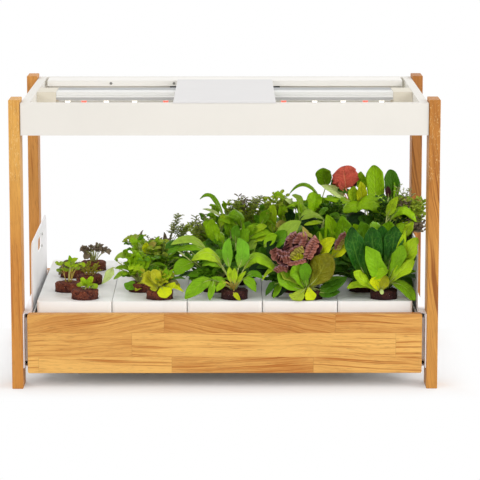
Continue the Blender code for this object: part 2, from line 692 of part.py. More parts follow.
def build_led_bar():
    """The ribbed heat sink, the lit board under it and the brackets that hang it in the frame."""
    prism("led_bar", bar_outline(), -BAR_REACH, BAR_REACH, "X", ALUMINIUM, (0, -BAR_FORWARD, BAR_BOTTOM))
    board_reach = BAR_REACH - BOARD_MARGIN
    board = block("led_board", (2 * board_reach, BAR_DEPTH - 2 * BOARD_MARGIN, BOARD_THICKNESS),
                  (0, -BAR_FORWARD, BOARD_TOP - BOARD_THICKNESS / 2), LED_WHITE)
    row_reach = BAR_DEPTH / 2 - BOARD_MARGIN - EMITTER_RADIUS
    bm = bmesh.new()
    for row in range(EMITTER_ROWS):
        y = row_reach * (2 * row / (EMITTER_ROWS - 1) - 1) - BAR_FORWARD
        for share in EMITTER_SHARES:
            for sx in (-1, 1):
                place = Matrix.Translation((sx * share * board_reach, y, 0))
                bmesh.ops.create_cone(bm, cap_ends=True, segments=EMITTER_SIDES, radius1=EMITTER_RADIUS / 2,
                                      radius2=EMITTER_RADIUS, depth=EMITTER_DROP + BOARD_THICKNESS / 2,
                                      matrix=place)
    emitters = add_object("emitters", bm)
    emitters.location.z = BOARD_TOP - BOARD_THICKNESS - EMITTER_DROP / 2 + BOARD_THICKNESS / 4
    combine(board, emitters, "UNION")
    foot = LAMP_TOP - BRACKET_HEIGHT
    outline = [(BAR_FRONT, foot), (BAR_FRONT, LAMP_TOP), (BAR_REAR, LAMP_TOP), (BAR_REAR, foot)]
    for side, sx in (("left", -1), ("right", 1)):
        bracket = swept_sheet(f"bar_bracket_{side}", outline, (LAMP_INNER_X - BAR_REACH) / 2 - FIT, "X",
                              BRACKET_WALL, CREAM_STEEL)
        bracket.location.x = sx * (LAMP_INNER_X + BAR_REACH) / 2


def build_control_unit():
    """The flat cover across the lamp frame, with the circuit board screwed to its bosses."""
    front = -LAMP_REACH_Y
    rear = BAY_FRONT - FIT
    cover = block_between("control_cover", (-COVER_WIDTH / 2, front, COVER_BOTTOM),
                          (COVER_WIDTH / 2, rear, COVER_BOTTOM + COVER_THICKNESS), WHITE_STEEL)
    board_y = (BAR_FRONT - LAMP_INNER_Y) / 2
    lip = block_between("cover_lip", (-COVER_WIDTH / 2, rear - COVER_THICKNESS, COVER_BOTTOM - COVER_LIP),
                        (COVER_WIDTH / 2, rear, COVER_BOTTOM + COVER_THICKNESS / 2))
    combine(cover, lip, "UNION")
    board_top = COVER_BOTTOM - COVER_BOSS_LENGTH - FIT
    for sx in (-1, 1):
        for sy in (-1, 1):
            length = COVER_BOSS_LENGTH + COVER_THICKNESS / 2
            place = (sx * (CONTROL_WIDTH / 2 - CONTROL_BOSS_INSET),
                     board_y + sy * (CONTROL_DEPTH / 2 - CONTROL_BOSS_INSET),
                     COVER_BOTTOM - COVER_BOSS_LENGTH + length / 2)
            boss = drum(f"cover_boss_{sx}_{sy}", COVER_BOSS_RADIUS, length, place, sides=PLUG_SIDES)
            combine(cover, boss, "UNION")
    board = block("control_board", (CONTROL_WIDTH, CONTROL_DEPTH, BOARD_THICKNESS),
                  (0, board_y, board_top - BOARD_THICKNESS / 2), CIRCUIT)
    for name, size, height, offset in (("chip", CHIP_SIZE, CHIP_HEIGHT, -CHIP_OFFSET),
                                       ("relay", RELAY_SIZE, RELAY_HEIGHT, CHIP_OFFSET)):
        top = board_top - BOARD_THICKNESS / 2
        piece = block(name, (size, size, height + BOARD_THICKNESS / 2),
                      (offset, board_y, top - (height + BOARD_THICKNESS / 2) / 2))
        combine(board, piece, "UNION")


def build_rear_bay():
    """The folded cover at the back of the lamp frame, the lamp driver under it and the power inlet."""
    rear = LAMP_INNER_Y - FIT
    outline = [(rear, LAMP_TOP - REAR_LIP), (rear, LAMP_TOP), (BAY_FRONT, LAMP_TOP),
               (BAY_FRONT, LAMP_TOP - REAR_LIP)]
    cover = swept_sheet("rear_cover", outline, LAMP_INNER_X - REAR_END_GAP, "X", LAMP_WALL, CREAM_STEEL)
    cover.modifiers["Solidify"].offset = 1
    driver_top = LAMP_TOP - LAMP_WALL - FIT
    driver = block("lamp_driver", (DRIVER_WIDTH, DRIVER_DEPTH, DRIVER_HEIGHT),
                   (0, (rear + BAY_FRONT) / 2, driver_top - DRIVER_HEIGHT / 2), DARK_PLASTIC)
    chamfer(driver, DRIVER_CHAMFER)
    inlet_z = LAMP_BOTTOM + LAMP_HEIGHT / 2
    wall = LAMP_REACH_Y + FIT
    length = INLET_LENGTH + INLET_FLANGE
    place = (INLET_OFFSET, wall + INLET_FLANGE - length / 2, inlet_z)
    inlet = drum("power_inlet", INLET_RADIUS, length, place, DARK_PLASTIC, "Y")
    flange = drum("inlet_flange", INLET_FLANGE_RADIUS, INLET_FLANGE,
                  (INLET_OFFSET, wall + INLET_FLANGE / 2, inlet_z), axis="Y")
    combine(inlet, flange, "UNION")
    bore = drum("inlet_bore", INLET_BORE_RADIUS, INLET_BORE_DEPTH + OVERRUN,
                (INLET_OFFSET, wall + INLET_FLANGE - (INLET_BORE_DEPTH - OVERRUN) / 2, inlet_z), axis="Y")
    combine(inlet, bore)


def build_pump():
    """The circulation pump: housing with its spout, impeller and intake grille."""
    middle = (TANK_BAY_X, PUMP_Y, CHAMBER_Z)
    body = block("pump_housing", (PUMP_WIDTH, PUMP_DEPTH, PUMP_HEIGHT), middle, DARK_PLASTIC)
    chamfer(body, PUMP_ROUNDING, 2)
    front = PUMP_Y - PUMP_DEPTH / 2
    top = PUMP_BOTTOM + PUMP_HEIGHT
    spout_y = front + SPOUT_SETBACK
    spout = drum("spout", SPOUT_RADIUS, SPOUT_LENGTH + PUMP_ROUNDING,
                 (TANK_BAY_X, spout_y, top + (SPOUT_LENGTH - PUMP_ROUNDING) / 2))
    combine(body, spout, "UNION")
    chamber_length = CHAMBER_DEPTH + OVERRUN
    chamber = drum("chamber", CHAMBER_RADIUS, chamber_length,
                   (TANK_BAY_X, front + CHAMBER_DEPTH - chamber_length / 2, CHAMBER_Z), axis="Y")
    combine(body, chamber)
    shaft_bore = SHAFT_LENGTH + SHAFT_PLAY + OVERRUN
    bearing = drum("bearing", SHAFT_RADIUS + SHAFT_PLAY, shaft_bore,
                   (TANK_BAY_X, front + CHAMBER_DEPTH - OVERRUN + shaft_bore / 2, CHAMBER_Z), axis="Y")
    combine(body, bearing)
    throat_length = top + SPOUT_LENGTH + OVERRUN - CHAMBER_Z
    throat = drum("throat", SPOUT_BORE_RADIUS, throat_length,
                  (TANK_BAY_X, spout_y, CHAMBER_Z + throat_length / 2))
    combine(body, throat)
    build_impeller(front)
    build_grille(front)


def build_impeller(front):
    """The impeller on its shaft, with its origin on the axis that it spins about."""
    disc_y = front + CHAMBER_DEPTH - SHAFT_PLAY - IMPELLER_DISC / 2
    wheel = drum("pump_impeller", IMPELLER_RADIUS, IMPELLER_DISC, (TANK_BAY_X, disc_y, CHAMBER_Z),
                 WHITE_PLASTIC, "Y")
    shaft_length = SHAFT_LENGTH + IMPELLER_DISC
    shaft_y = disc_y - IMPELLER_DISC / 2 + shaft_length / 2
    shaft = drum("shaft", SHAFT_RADIUS, shaft_length, (TANK_BAY_X, shaft_y, CHAMBER_Z), axis="Y",
                 sides=PLUG_SIDES)
    combine(wheel, shaft, "UNION")
    hub_length = BLADE_HEIGHT + IMPELLER_DISC
    hub_y = disc_y + IMPELLER_DISC / 2 - hub_length / 2
    hub = drum("hub", HUB_RADIUS, hub_length, (TANK_BAY_X, hub_y, CHAMBER_Z), axis="Y", sides=PLUG_SIDES)
    combine(wheel, hub, "UNION")
    for blade in range(IMPELLER_BLADES):
        angle = 2 * math.pi * blade / IMPELLER_BLADES
        length = IMPELLER_RADIUS - HUB_RADIUS / 2 - FIT
        reach = HUB_RADIUS / 2 + length / 2
        piece = block(f"blade_{blade}", (length, hub_length - IMPELLER_DISC / 2, BLADE_THICKNESS),
                      (TANK_BAY_X + reach * math.cos(angle), disc_y - hub_length / 2 + IMPELLER_DISC / 4,
                       CHAMBER_Z + reach * math.sin(angle)))
        piece.rotation_euler.y = -angle
        combine(wheel, piece, "UNION")


def build_grille(front):
    """The slotted disc that closes the impeller chamber."""
    grille = drum("pump_grille", CHAMBER_RADIUS - FIT, GRILLE_THICKNESS,
                  (TANK_BAY_X, front + GRILLE_THICKNESS / 2, CHAMBER_Z), DARK_PLASTIC, "Y")
    pitch = 2 * CHAMBER_RADIUS / (GRILLE_SLOTS + 1)
    for slot in range(GRILLE_SLOTS):
        z = (slot - (GRILLE_SLOTS - 1) / 2) * pitch
        half = math.sqrt(CHAMBER_RADIUS ** 2 - (abs(z) + GRILLE_SLOT_WIDTH) ** 2) - GRILLE_SLOT_WIDTH
        cutter = block(f"grille_slot_{slot}", (2 * half, GRILLE_THICKNESS + 2 * OVERRUN, GRILLE_SLOT_WIDTH),
                       (TANK_BAY_X, front, CHAMBER_Z + z))
        combine(grille, cutter)


def build_level_float():
    """The float that rises with the water on its stem."""
    foot_bottom = TANK_FLOOR + FIT
    float_bottom = foot_bottom + STEM_FOOT + FIT
    stem_top = float_bottom + FLOAT_HEIGHT + FLOAT_TRAVEL + FIT
    y = PUMP_Y
    stem_length = stem_top - foot_bottom
    stem = drum("float_stem", STEM_TUBE_RADIUS, stem_length, (-TANK_BAY_X, y, foot_bottom + stem_length / 2),
                DARK_PLASTIC)
    foot = drum("stem_foot", STEM_FOOT_RADIUS, STEM_FOOT, (-TANK_BAY_X, y, foot_bottom + STEM_FOOT / 2))
    combine(stem, foot, "UNION")
    cap = drum("stem_cap", STEM_CAP_RADIUS, STEM_CAP, (-TANK_BAY_X, y, stem_top + STEM_CAP / 2 - FIT / 2))
    combine(stem, cap, "UNION")
    ring = drum("level_float", FLOAT_RADIUS, FLOAT_HEIGHT, (-TANK_BAY_X, y, float_bottom + FLOAT_HEIGHT / 2),
                FLOAT_BLUE)
    bore = drum("float_bore", STEM_TUBE_RADIUS + FLOAT_PLAY, FLOAT_HEIGHT + 2 * OVERRUN,
                (-TANK_BAY_X, y, float_bottom + FLOAT_HEIGHT / 2))
    combine(ring, bore)


build_posts()
build_panels()
build_side_frames()
build_tank()
build_trays()
build_plugs()
build_lamp_frame()
build_led_bar()
build_control_unit()
build_rear_bay()
build_pump()
build_level_float()
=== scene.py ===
"""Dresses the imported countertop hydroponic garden: oiled oak, coated steel, moulded plastic, a ribbed
lamp bar, crumbly root plugs and twenty-five plants, with a pale stage and the photograph's camera.

Metres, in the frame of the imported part. The front faces -Y and +X is to the right.
"""

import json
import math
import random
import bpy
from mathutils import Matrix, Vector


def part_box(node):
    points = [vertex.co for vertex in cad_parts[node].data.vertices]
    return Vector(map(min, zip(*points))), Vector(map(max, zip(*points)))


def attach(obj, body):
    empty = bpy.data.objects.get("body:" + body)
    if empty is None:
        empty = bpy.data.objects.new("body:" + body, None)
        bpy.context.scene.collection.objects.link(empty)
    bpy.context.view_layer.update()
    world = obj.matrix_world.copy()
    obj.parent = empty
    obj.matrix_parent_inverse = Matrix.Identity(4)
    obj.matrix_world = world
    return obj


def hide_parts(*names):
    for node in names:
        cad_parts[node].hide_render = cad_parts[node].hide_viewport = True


bl_info = {
    "name": "Hydroponic Garden Dressing",
    "version": (1, 0, 0),
    "blender": (4, 5, 0),
    "location": "View3D > Sidebar > Garden",
    "description": "Finishes, root plugs and plants for a countertop hydroponic garden",
    "category": "Object",
}

import bmesh
import bpy
import numpy as np
from bpy.props import FloatProperty, FloatVectorProperty, PointerProperty
from mathutils import Euler, Vector, noise

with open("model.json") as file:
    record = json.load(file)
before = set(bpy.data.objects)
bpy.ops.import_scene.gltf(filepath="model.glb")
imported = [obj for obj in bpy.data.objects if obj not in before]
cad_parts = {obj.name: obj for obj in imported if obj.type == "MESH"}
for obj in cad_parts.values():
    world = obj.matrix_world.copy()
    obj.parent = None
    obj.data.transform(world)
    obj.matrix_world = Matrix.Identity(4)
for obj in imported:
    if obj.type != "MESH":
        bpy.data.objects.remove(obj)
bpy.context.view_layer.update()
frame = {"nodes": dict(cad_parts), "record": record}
NODES = frame["nodes"]
BODY_OF = {node: body for body, nodes in frame["record"]["behaviour"]["bodies"].items() for node in nodes}

# The photograph: its width and height in pixels, and the camera's sensor in millimetres
PHOTO_SIZE = 480
SENSOR = 36.0

UP = np.array((0.0, 0.0, 1.0))
TO_FRONT = np.array((0.0, -1.0, 0.0))
TO_RIGHT = np.array((1.0, 0.0, 0.0))
MILLIMETRES = 1000  # in a metre
TURN = 2 * math.pi
GOLDEN_TURN = 137.5  # degrees from one leaf to the next
GOLDEN_STEP = 2.4  # about the same turn, in radians
GOLDEN_SHARE = 0.618  # of a box's width from one shoot to the next

# Trays and plugs
TRAY_NUMBERS = range(1, 6)
ROW_NUMBERS = range(1, 6)
WARM_TRAYS = (1, 2)
TRAY_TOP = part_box("tray_1")[1].z
PLUG_TOP = TRAY_TOP + 0.0125
PLUG_CROWN = TRAY_TOP + 0.0128
SOCKET_STAGGER = 0.1295  # of a tray's width
FIRST_SOCKET = 0.027
SOCKET_PITCH = 0.059
ROOT_DEPTH = 0.001
PLUG_SIDES = 44
PLUG_STEPS = 13
CRUMB_DEPTH = 0.0010
CRUMB_RISE = 0.0011

# How far leaves may reach: above the trays, between the end plates and within the frame
LEAF_CLEARANCE = 0.0012
PLATE_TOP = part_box("side_frame_left")[1].z + 0.002
PLATE_LIMIT = 0.2785
SIDE_LIMIT = 0.3035
DEPTH_LIMIT = 0.1885

# Small screws as pixels of the photograph: along the rear cover's lip, and on the left end plate's inner face
COVER_SCREWS = (111, 174)
COVER_SCREW_ROW = 83
COVER_SCREW_RADIUS = 0.0021
PLATE_SCREWS = ((41.9, 233.7), (41.5, 245.5))
PLATE_SCREW_RADIUS = 0.0024
PLATE_FACE = -0.2797
PLATE_DEPTHS = (-0.1, 0.1)  # two depths, between which the sight line meets the plate's face

# A screw's head from its rim to the foot of its recess, as width and height in shares of its radius
SCREW_PROFILE = ((1.0, 0.0), (1.0, 0.33), (0.76, 0.57), (0.43, 0.57), (0.43, 0.24))
SCREW_SIDES = 18

# The panel's three rows of staves: where a row ends, then its staves' ends, tones and grain slopes
STAVE_LINES = (0.0468, 0.0821)
STAVE_ROWS = (
    ((-0.2688, -0.0765, 0.1282), (0.04, 0.02, 0.40, 0.20), (0.0, 0.02, -0.05, 0.05)),
    ((-0.1341, 0.2469), (0.28, 0.12, 0.16), (-0.05, 0.02, 0.03)),
    ((-0.0874, 0.1598), (0.38, 0.50, 0.42), (-0.19, 0.20, 0.02)),
)

# The posts: light and dark wood, grain slope, the height from which pale flecks show, and the light wood at
# the foot; between the two heights of the foot one light wood fades into the other
# Each post's woods are partly its own tone and partly painted shade: the right and the rear posts are darker
# where less light falls on them
POSTS = {
    "post_front_left": ((226, 170, 84), (178, 108, 42), 0.03, 0.30, (210, 144, 66)),
    "post_front_right": ((198, 132, 58), (150, 88, 32), 0.14, 0.30, (214, 152, 72)),
    "post_rear_left": ((214, 150, 76), (168, 102, 40), 0.05, 0.0, (208, 144, 70)),
    "post_rear_right": ((184, 120, 58), (130, 76, 30), 0.12, 0.0, (190, 126, 60)),
}
POST_FOOT = (0.16, 0.34)

# The lamp bar, measured from its lower front edge: its grooves, painted darker as shade, where the painted
# shade over the rear of the bar behind them begins, and how deep and high the band of painted shade at its
# foot is
BAR_GROOVES = (0.013, 0.025)
BAR_SHADED_REAR = 0.031
BAR_SHADED_FOOT = (0.010, 0.0035)

# The two boards' thicknesses, and how far from the middle of the lamp board its red lenses are
LAMP_BOARD_THICKNESS = 0.0019
CONTROL_BOARD_THICKNESS = 0.0018
RED_LENSES = ((0.075, 0.100), (0.200, 0.220))

# Pieces that share a finish
SIDE_FRAMES = ("side_frame_left", "side_frame_right")
BRACKETS = ("bar_bracket_left", "bar_bracket_right")
WHITE_MOULDINGS = ("water_tank", "pump_impeller", "tray_1", "tray_2", "tray_3", "tray_4", "tray_5")
BLACK_MOULDINGS = ("lamp_driver", "power_inlet", "pump_housing", "pump_grille", "float_stem")

# Soft lamps: place, width and the property that holds the power; all of them point at the garden's foot
LAMPS = {
    "key_light": ((-2.0, -2.0, 1.7), 1.6, "key"),
    "fill_light": ((2.7, -1.5, 1.5), 1.6, "fill"),
    "rear_left_light": ((-1.7, 2.4, 1.7), 1.2, "rear"),
    "rear_right_light": ((1.7, 2.4, 1.7), 1.2, "rear"),
}
LAMP_TARGET = (0.0, 0.0, 0.1)

# The patch of floor that keeps the shadow, and how it fades to white outside
SHADOW_SIDE = 0.305
SHADOW_FRONT = -0.135
SHADOW_REAR = 0.19
FRONT_SHARE = 0.55
FADE = (-0.012, 0.075)

# Leaf outlines: how wide a blade is along its length, as shares of its full width
OUTLINE_SHARES = {
    "oval": (0.10, 0.46, 0.76, 0.95, 1.00, 0.94, 0.80, 0.60, 0.38),
    "spoon": (0.16, 0.30, 0.48, 0.70, 0.90, 1.00, 0.97, 0.82, 0.56),
    "heart": (0.20, 0.85, 1.00, 0.96, 0.86, 0.73, 0.58, 0.43, 0.28),
    "lance": (0.10, 0.50, 0.82, 1.00, 0.97, 0.85, 0.66, 0.46, 0.28),
    "round": (0.15, 0.62, 0.88, 1.00, 1.00, 1.00, 0.97, 0.90, 0.78),
    "fan": (0.16, 0.26, 0.40, 0.58, 0.76, 0.92, 1.00, 1.00, 0.94),
    "needle": (0.60, 1.00, 0.95, 0.75, 0.30),
}

# How many pairs of leaflets a shoot has, and how finely the curls of a leaf's edge are built
LEAFLET_PAIRS = {"needle": 7, "frill": 4}
CURL_STEPS = 10
CURL_COLUMNS = 5

# What several of the leaves below share: a ruffled edge and a wavy one
RUFFLED = dict(ripple=(0.07, 6.0), rows=12)
WAVY = dict(ripple=(0.03, 3.0))

# Leaf finishes: blade, base, edge and vein colours and gloss, then any crinkle, mottling and grain of its own
LEAF_COLOURS = {
    "bright": ((146, 192, 12), (160, 196, 48), (144, 190, 20), (176, 208, 62), 0.38),
    "lime": ((170, 206, 22), (186, 212, 70), (174, 208, 40), (196, 220, 84), 0.40),
    "yellow": ((200, 212, 8), (198, 212, 50), (192, 208, 22), (206, 220, 72), 0.40),
    "gold": ((184, 186, 30), (186, 190, 70), (190, 196, 66), (198, 204, 90), 0.42),
    "grass": ((122, 172, 10), (146, 184, 40), (120, 168, 18), (150, 190, 54), 0.38),
    "mid": ((98, 152, 14), (144, 182, 54), (102, 154, 22), (130, 174, 54), 0.40),
    "deep": ((62, 108, 8), (108, 146, 38), (62, 112, 20), (92, 140, 42), 0.38),
    "shade": ((22, 52, 8), (42, 76, 14), (28, 60, 12), (44, 80, 20), 0.50),
    "blue": ((110, 170, 32), (152, 186, 60), (102, 160, 44), (130, 178, 60), 0.36),
    "sage": ((154, 188, 58), (168, 192, 76), (154, 186, 66), (180, 206, 100), 0.44),
    "tan": ((176, 164, 74), (184, 176, 78), (178, 170, 84), (194, 188, 104), 0.44),
    "grey": ((112, 110, 66), (142, 140, 78), (96, 84, 62), (136, 130, 88), 0.60),
    "purple": ((172, 108, 92), (166, 146, 66), (206, 172, 190), (204, 158, 134), 0.42, 0.9, 0.95, 260.0),
    "wine": ((62, 26, 26), (96, 70, 30), (92, 48, 56), (104, 60, 52), 0.40),
    "olive": ((122, 120, 10), (172, 184, 44), (108, 92, 26), (160, 168, 60), 0.36, 0.7, 0.4),
    "red": ((222, 96, 80), (232, 120, 88), (188, 58, 60), (250, 160, 112), 0.38, 0.5, 0.7),
    "pale": ((204, 226, 136), (216, 228, 150), (212, 228, 150), (222, 234, 170), 0.46),
    "romaine": ((30, 88, 10), (146, 184, 40), (44, 104, 16), (104, 156, 50), 0.28, 0.6, 0.6),
    "herb": ((186, 194, 120), (166, 180, 92), (128, 138, 92), (170, 184, 108), 0.55),
    "moss": ((170, 192, 52), (160, 182, 50), (150, 178, 40), (170, 192, 70), 0.50),
    "dusk": ((142, 126, 102), (150, 146, 80), (136, 106, 108), (152, 138, 108), 0.55),
}
STEM_COLOURS = {
    "stem_pale": ((190, 202, 112), 0.45),
    "stem_green": ((132, 166, 48), 0.50),
    "stem_gold": ((218, 190, 80), 0.42),
    "stem_red": ((238, 144, 104), 0.40),
    "stem_dark": ((108, 104, 66), 0.60),
}

# Root plugs: dark and middle colours, and the colour of the painted highlights on their crumbs
SOIL_COLOURS = {
    "soil_warm": ((64, 26, 20), (124, 64, 42), (188, 112, 80)),
    "soil_dark": ((34, 14, 14), (66, 32, 26), (112, 62, 50)),
}


def tint(red, green, blue):
    """A colour as a shader takes it, from the 0 to 255 values of a picture."""
    linear = []
    for value in (red, green, blue):
        share = value / 255
        linear.append(share / 12.92 if share <= 0.04045 else ((share + 0.055) / 1.055) ** 2.4)
    return (*linear, 1.0)


def toned(colour, share):
    """A darker or lighter version of a colour."""
    return tuple(min(1.0, value * share) for value in colour[:3]) + (1.0,)


class Signal:
    """One socket of a node tree, so that shader maths reads as plain expressions."""

    def __init__(self, nodes, socket):
        self.nodes = nodes
        self.socket = socket

    def maths(self, operation, *others):
        return self.nodes.maths(operation, self, *others)

    def __add__(self, other):
        return self.maths("ADD", other)

    def __radd__(self, other):
        return self.nodes.maths("ADD", other, self)

    def __sub__(self, other):
        return self.maths("SUBTRACT", other)

    def __rsub__(self, other):
        return self.nodes.maths("SUBTRACT", other, self)

    def __mul__(self, other):
        return self.maths("MULTIPLY", other)

    def __rmul__(self, other):
        return self.nodes.maths("MULTIPLY", other, self)

    def __gt__(self, other):
        return self.maths("GREATER_THAN", other)

    def __lt__(self, other):
        return self.maths("LESS_THAN", other)

    def __abs__(self):
        return self.maths("ABSOLUTE")


class Nodes:
    """A node tree with one method for any node and a few for the ones used most."""

    def __init__(self, tree):
        self.tree = tree

    def put(self, socket, value):
        """Links a signal to a socket, or writes a plain value on it."""
        if isinstance(value, Signal):
            self.tree.links.new(value.socket, socket)
        else:
            socket.default_value = value

    def node(self, kind, settings=None, sockets=None, output=0):
        """Adds a node: its type, its settings first, then the values or links of its sockets."""
        node = self.tree.nodes.new(kind)
        for key, value in (settings or {}).items():
            setattr(node, key, value)
        for key, value in (sockets or {}).items():
            self.put(node.inputs[key], value)
        return Signal(self, node.outputs[output])

    def maths(self, operation, *values):
        return self.node("ShaderNodeMath", {"operation": operation}, dict(enumerate(values)))

    def mix(self, share, first, second):
        return self.node("ShaderNodeMix", {"data_type": "RGBA"}, {0: share, 6: first, 7: second}, output=2)

    def noise(self, place, scale=1.0, detail=2.0, roughness=0.5, distortion=0.0):
        sockets = {"Vector": place, "Scale": scale, "Detail": detail, "Roughness": roughness,
                   "Distortion": distortion}
        return self.node("ShaderNodeTexNoise", None, sockets)

    def cells(self, place, scale, **settings):
        return self.node("ShaderNodeTexVoronoi", settings, {"Vector": place, "Scale": scale})

    def ease(self, value, low, high):
        """Runs smoothly from 0 at low to 1 at high."""
        settings = {"interpolation_type": "SMOOTHSTEP"}
        return self.node("ShaderNodeMapRange", settings, {"Value": value, "From Min": low, "From Max": high})

    def axes(self, vector):
        x = self.node("ShaderNodeSeparateXYZ", None, {0: vector})
        outputs = x.socket.node.outputs
        return x, Signal(self, outputs[1]), Signal(self, outputs[2])

    def joined(self, x, y, z):
        return self.node("ShaderNodeCombineXYZ", None, {0: x, 1: y, 2: z})

    def seen_rays(self, *kinds):
        """1 for what the camera sees, directly or by the named kinds of ray."""
        rays = self.node("ShaderNodeLightPath")
        seen = rays
        for kind in kinds:
            seen = self.maths("MAXIMUM", seen, Signal(self, rays.socket.node.outputs[kind]))
        return seen


class Finish(Nodes):
    """A material: the Principled shader and what feeds it."""

    def __init__(self, name, roughness=0.5, metallic=0.0, **constants):
        self.material = bpy.data.materials.new(name)
        self.material.use_nodes = True
        super().__init__(self.material.node_tree)
        self.shader = self.tree.nodes["Principled BSDF"]
        self.feed("Roughness", roughness)
        self.feed("Metallic", metallic)
        for socket, value in constants.items():
            self.feed(socket.replace("_", " "), value)

    def feed(self, socket, value):
        self.put(self.shader.inputs[socket], value)

    def place(self):
        """Where a point is on the piece, in metres."""
        return self.node("ShaderNodeTexCoord", None, None, output=3)

    def relief(self, height, depth, strength=1.0):
        """Feeds a bump of the given depth in metres to the shader."""
        bump = self.node("ShaderNodeBump", None, {"Strength": strength, "Distance": depth, "Height": height})
        self.feed("Normal", bump)


def by_stave(length, ends, values):
    """A value that changes from stave to stave along a row."""
    total = values[0]
    for end, before, after in zip(ends, values, values[1:]):
        total = (length > end) * (after - before) + total
    return total


def stave_marks(finish, length, height, rows):
    """For glued staves: how far each shifts the grain, its tone and slope, and where the glue lines are."""
    shift, tone, slope, seam = 0.0, 0.0, 0.0, 0.0
    for row, (bottom, top, ends, tones, slopes) in enumerate(rows):
        inside = (height > bottom) * (height < top)
        shifts = [row * 2.3 + 0.7 * number for number in range(len(tones))]
        shift = inside * by_stave(length, ends, shifts) + shift
        tone = inside * by_stave(length, ends, tones) + tone
        slope = inside * by_stave(length, ends, slopes) + slope
        for end in ends:
            seam = seam + inside * finish.ease(abs(length - end), 0.0007, 0.0002)
        seam = seam + finish.ease(abs(height - bottom), 0.0006, 0.0002)
    return shift, tone, slope, seam


def oak(name, along, light, dark, rows=None, slope=0.02, flecks=0.0, foot=None):
    """Oiled oak with its grain along one axis; rows are glued staves with their ends, tones and slopes."""
    finish = Finish(name, Specular_IOR_Level=0.25, Coat_Weight=0.05, Coat_Roughness=0.35)
    x, y, z = finish.axes(finish.place())
    length, height = (x, z) if along == "X" else (z, x)
    shift, tone, seam = 0.37, 0.16, 0.0
    if rows:
        shift, tone, slope, seam = stave_marks(finish, length, height, rows)
    shifted = length + shift
    depth = y + shift * 1.7

    def grain_noise(scales, detail, roughness=0.5, level=height):
        stretched = finish.joined(shifted * scales[0], level * scales[1], depth * scales[2])
        return finish.noise(stretched, 1.0, detail, roughness)

    wander = grain_noise((9.0, 16.0, 16.0), 2.0)
    across = height + slope * length + wander * 0.012
    fibre = grain_noise((16.0, 640.0, 640.0), 3.0, 0.6, across)
    lines = grain_noise((5.0, 330.0, 330.0), 2.0, 0.55, across)
    pores = finish.ease(grain_noise((70.0, 1500.0, 1500.0), 1.0, 0.5, across), 0.60, 0.70)
    cloud = grain_noise((9.0, 60.0, 40.0), 3.0, 0.5, across)
    strength = finish.ease(grain_noise((7.0, 14.0, 9.0), 2.0), 0.35, 0.65)
    grain = finish.ease(lines, 0.48, 0.72) * (strength * 0.9 + 0.25) * 0.6
    grain = grain + finish.ease(fibre, 0.34, 0.72) * 0.26
    grain = grain + finish.ease(cloud, 0.32, 0.72) * 0.24 - 0.12 + tone
    if foot:
        low, high, tint_below = foot
        light = finish.mix(finish.ease(length, high, low), light, tint_below)
    colour = finish.mix(finish.ease(grain, 0.0, 1.0), light, dark)
    colour = finish.mix(pores * 0.34, colour, tint(126, 76, 32))
    if flecks:
        spots = finish.noise(finish.joined(length * 160.0, height * 420.0, y * 420.0), 1.0, 1.0, 0.5, 1.5)
        spots = finish.ease(spots, 0.60, 0.66) * finish.ease(length, flecks, flecks + 0.01)
        colour = finish.mix(spots * 0.4, colour, tint(246, 214, 150))
    if rows:
        colour = finish.mix(finish.ease(seam, 0.0, 1.0) * 0.16, colour, tint(120, 72, 30))
    finish.feed("Base Color", colour)
    finish.feed("Roughness", 0.46 + fibre * 0.16)
    height_map = fibre * 0.6 - pores * 0.8
    finish.relief(height_map - seam * 0.5 if rows else height_map, 0.00022, 0.7)
    return finish.material


def coated_steel(name, colour):
    """Powder-coated sheet: a fine orange peel and a faint unevenness of tone."""
    finish = Finish(name, Specular_IOR_Level=0.45)
    place = finish.place()
    peel = finish.noise(place, 1400.0)
    cloud = finish.noise(place, 9.0)
    finish.feed("Base Color", finish.mix(finish.ease(cloud, 0.35, 0.8) * 0.5, colour, toned(colour, 0.93)))
    finish.feed("Roughness", 0.40 + peel * 0.16)
    finish.relief(peel, 0.00005, 0.5)
    return finish.material


def moulded_plastic(name, colour, grain=1.0, roughness=0.34):
    """Injection-moulded plastic: a soft sheen, a faint texture and slight flow marks."""
    finish = Finish(name)
    place = finish.place()
    texture = finish.noise(place, 2600.0)
    flow = finish.noise(place, 16.0, 3.0, 0.55, 0.6)
    finish.feed("Base Color", finish.mix(finish.ease(flow, 0.40, 0.85) * 0.5, colour, toned(colour, 0.90)))
    finish.feed("Roughness", roughness + flow * 0.12)
    finish.relief(texture * 0.5 + flow * 0.6, 0.00006 * grain, 0.6)
    return finish.material


def drawn_metal(name):
    """Bare metal with fine drawing lines along X: the finish, the lines and the coordinates."""
    finish = Finish(name, metallic=1.0)
    x, y, z = finish.axes(finish.place())
    lines = finish.noise(finish.joined(x * 9.0, y * 2600.0, z * 2600.0), 1.0, 2.0, 0.6)
    finish.feed("Roughness", 0.34 + lines * 0.16)
    finish.relief(lines, 0.00003, 0.6)
    return finish, lines, y, z


def anodised(name, colour):
    """An anodised part with fine drawing lines."""
    finish, lines, y, z = drawn_metal(name)
    finish.feed("Base Color", finish.mix(finish.ease(lines, 0.3, 0.7), colour, toned(colour, 0.86)))
    return finish.material


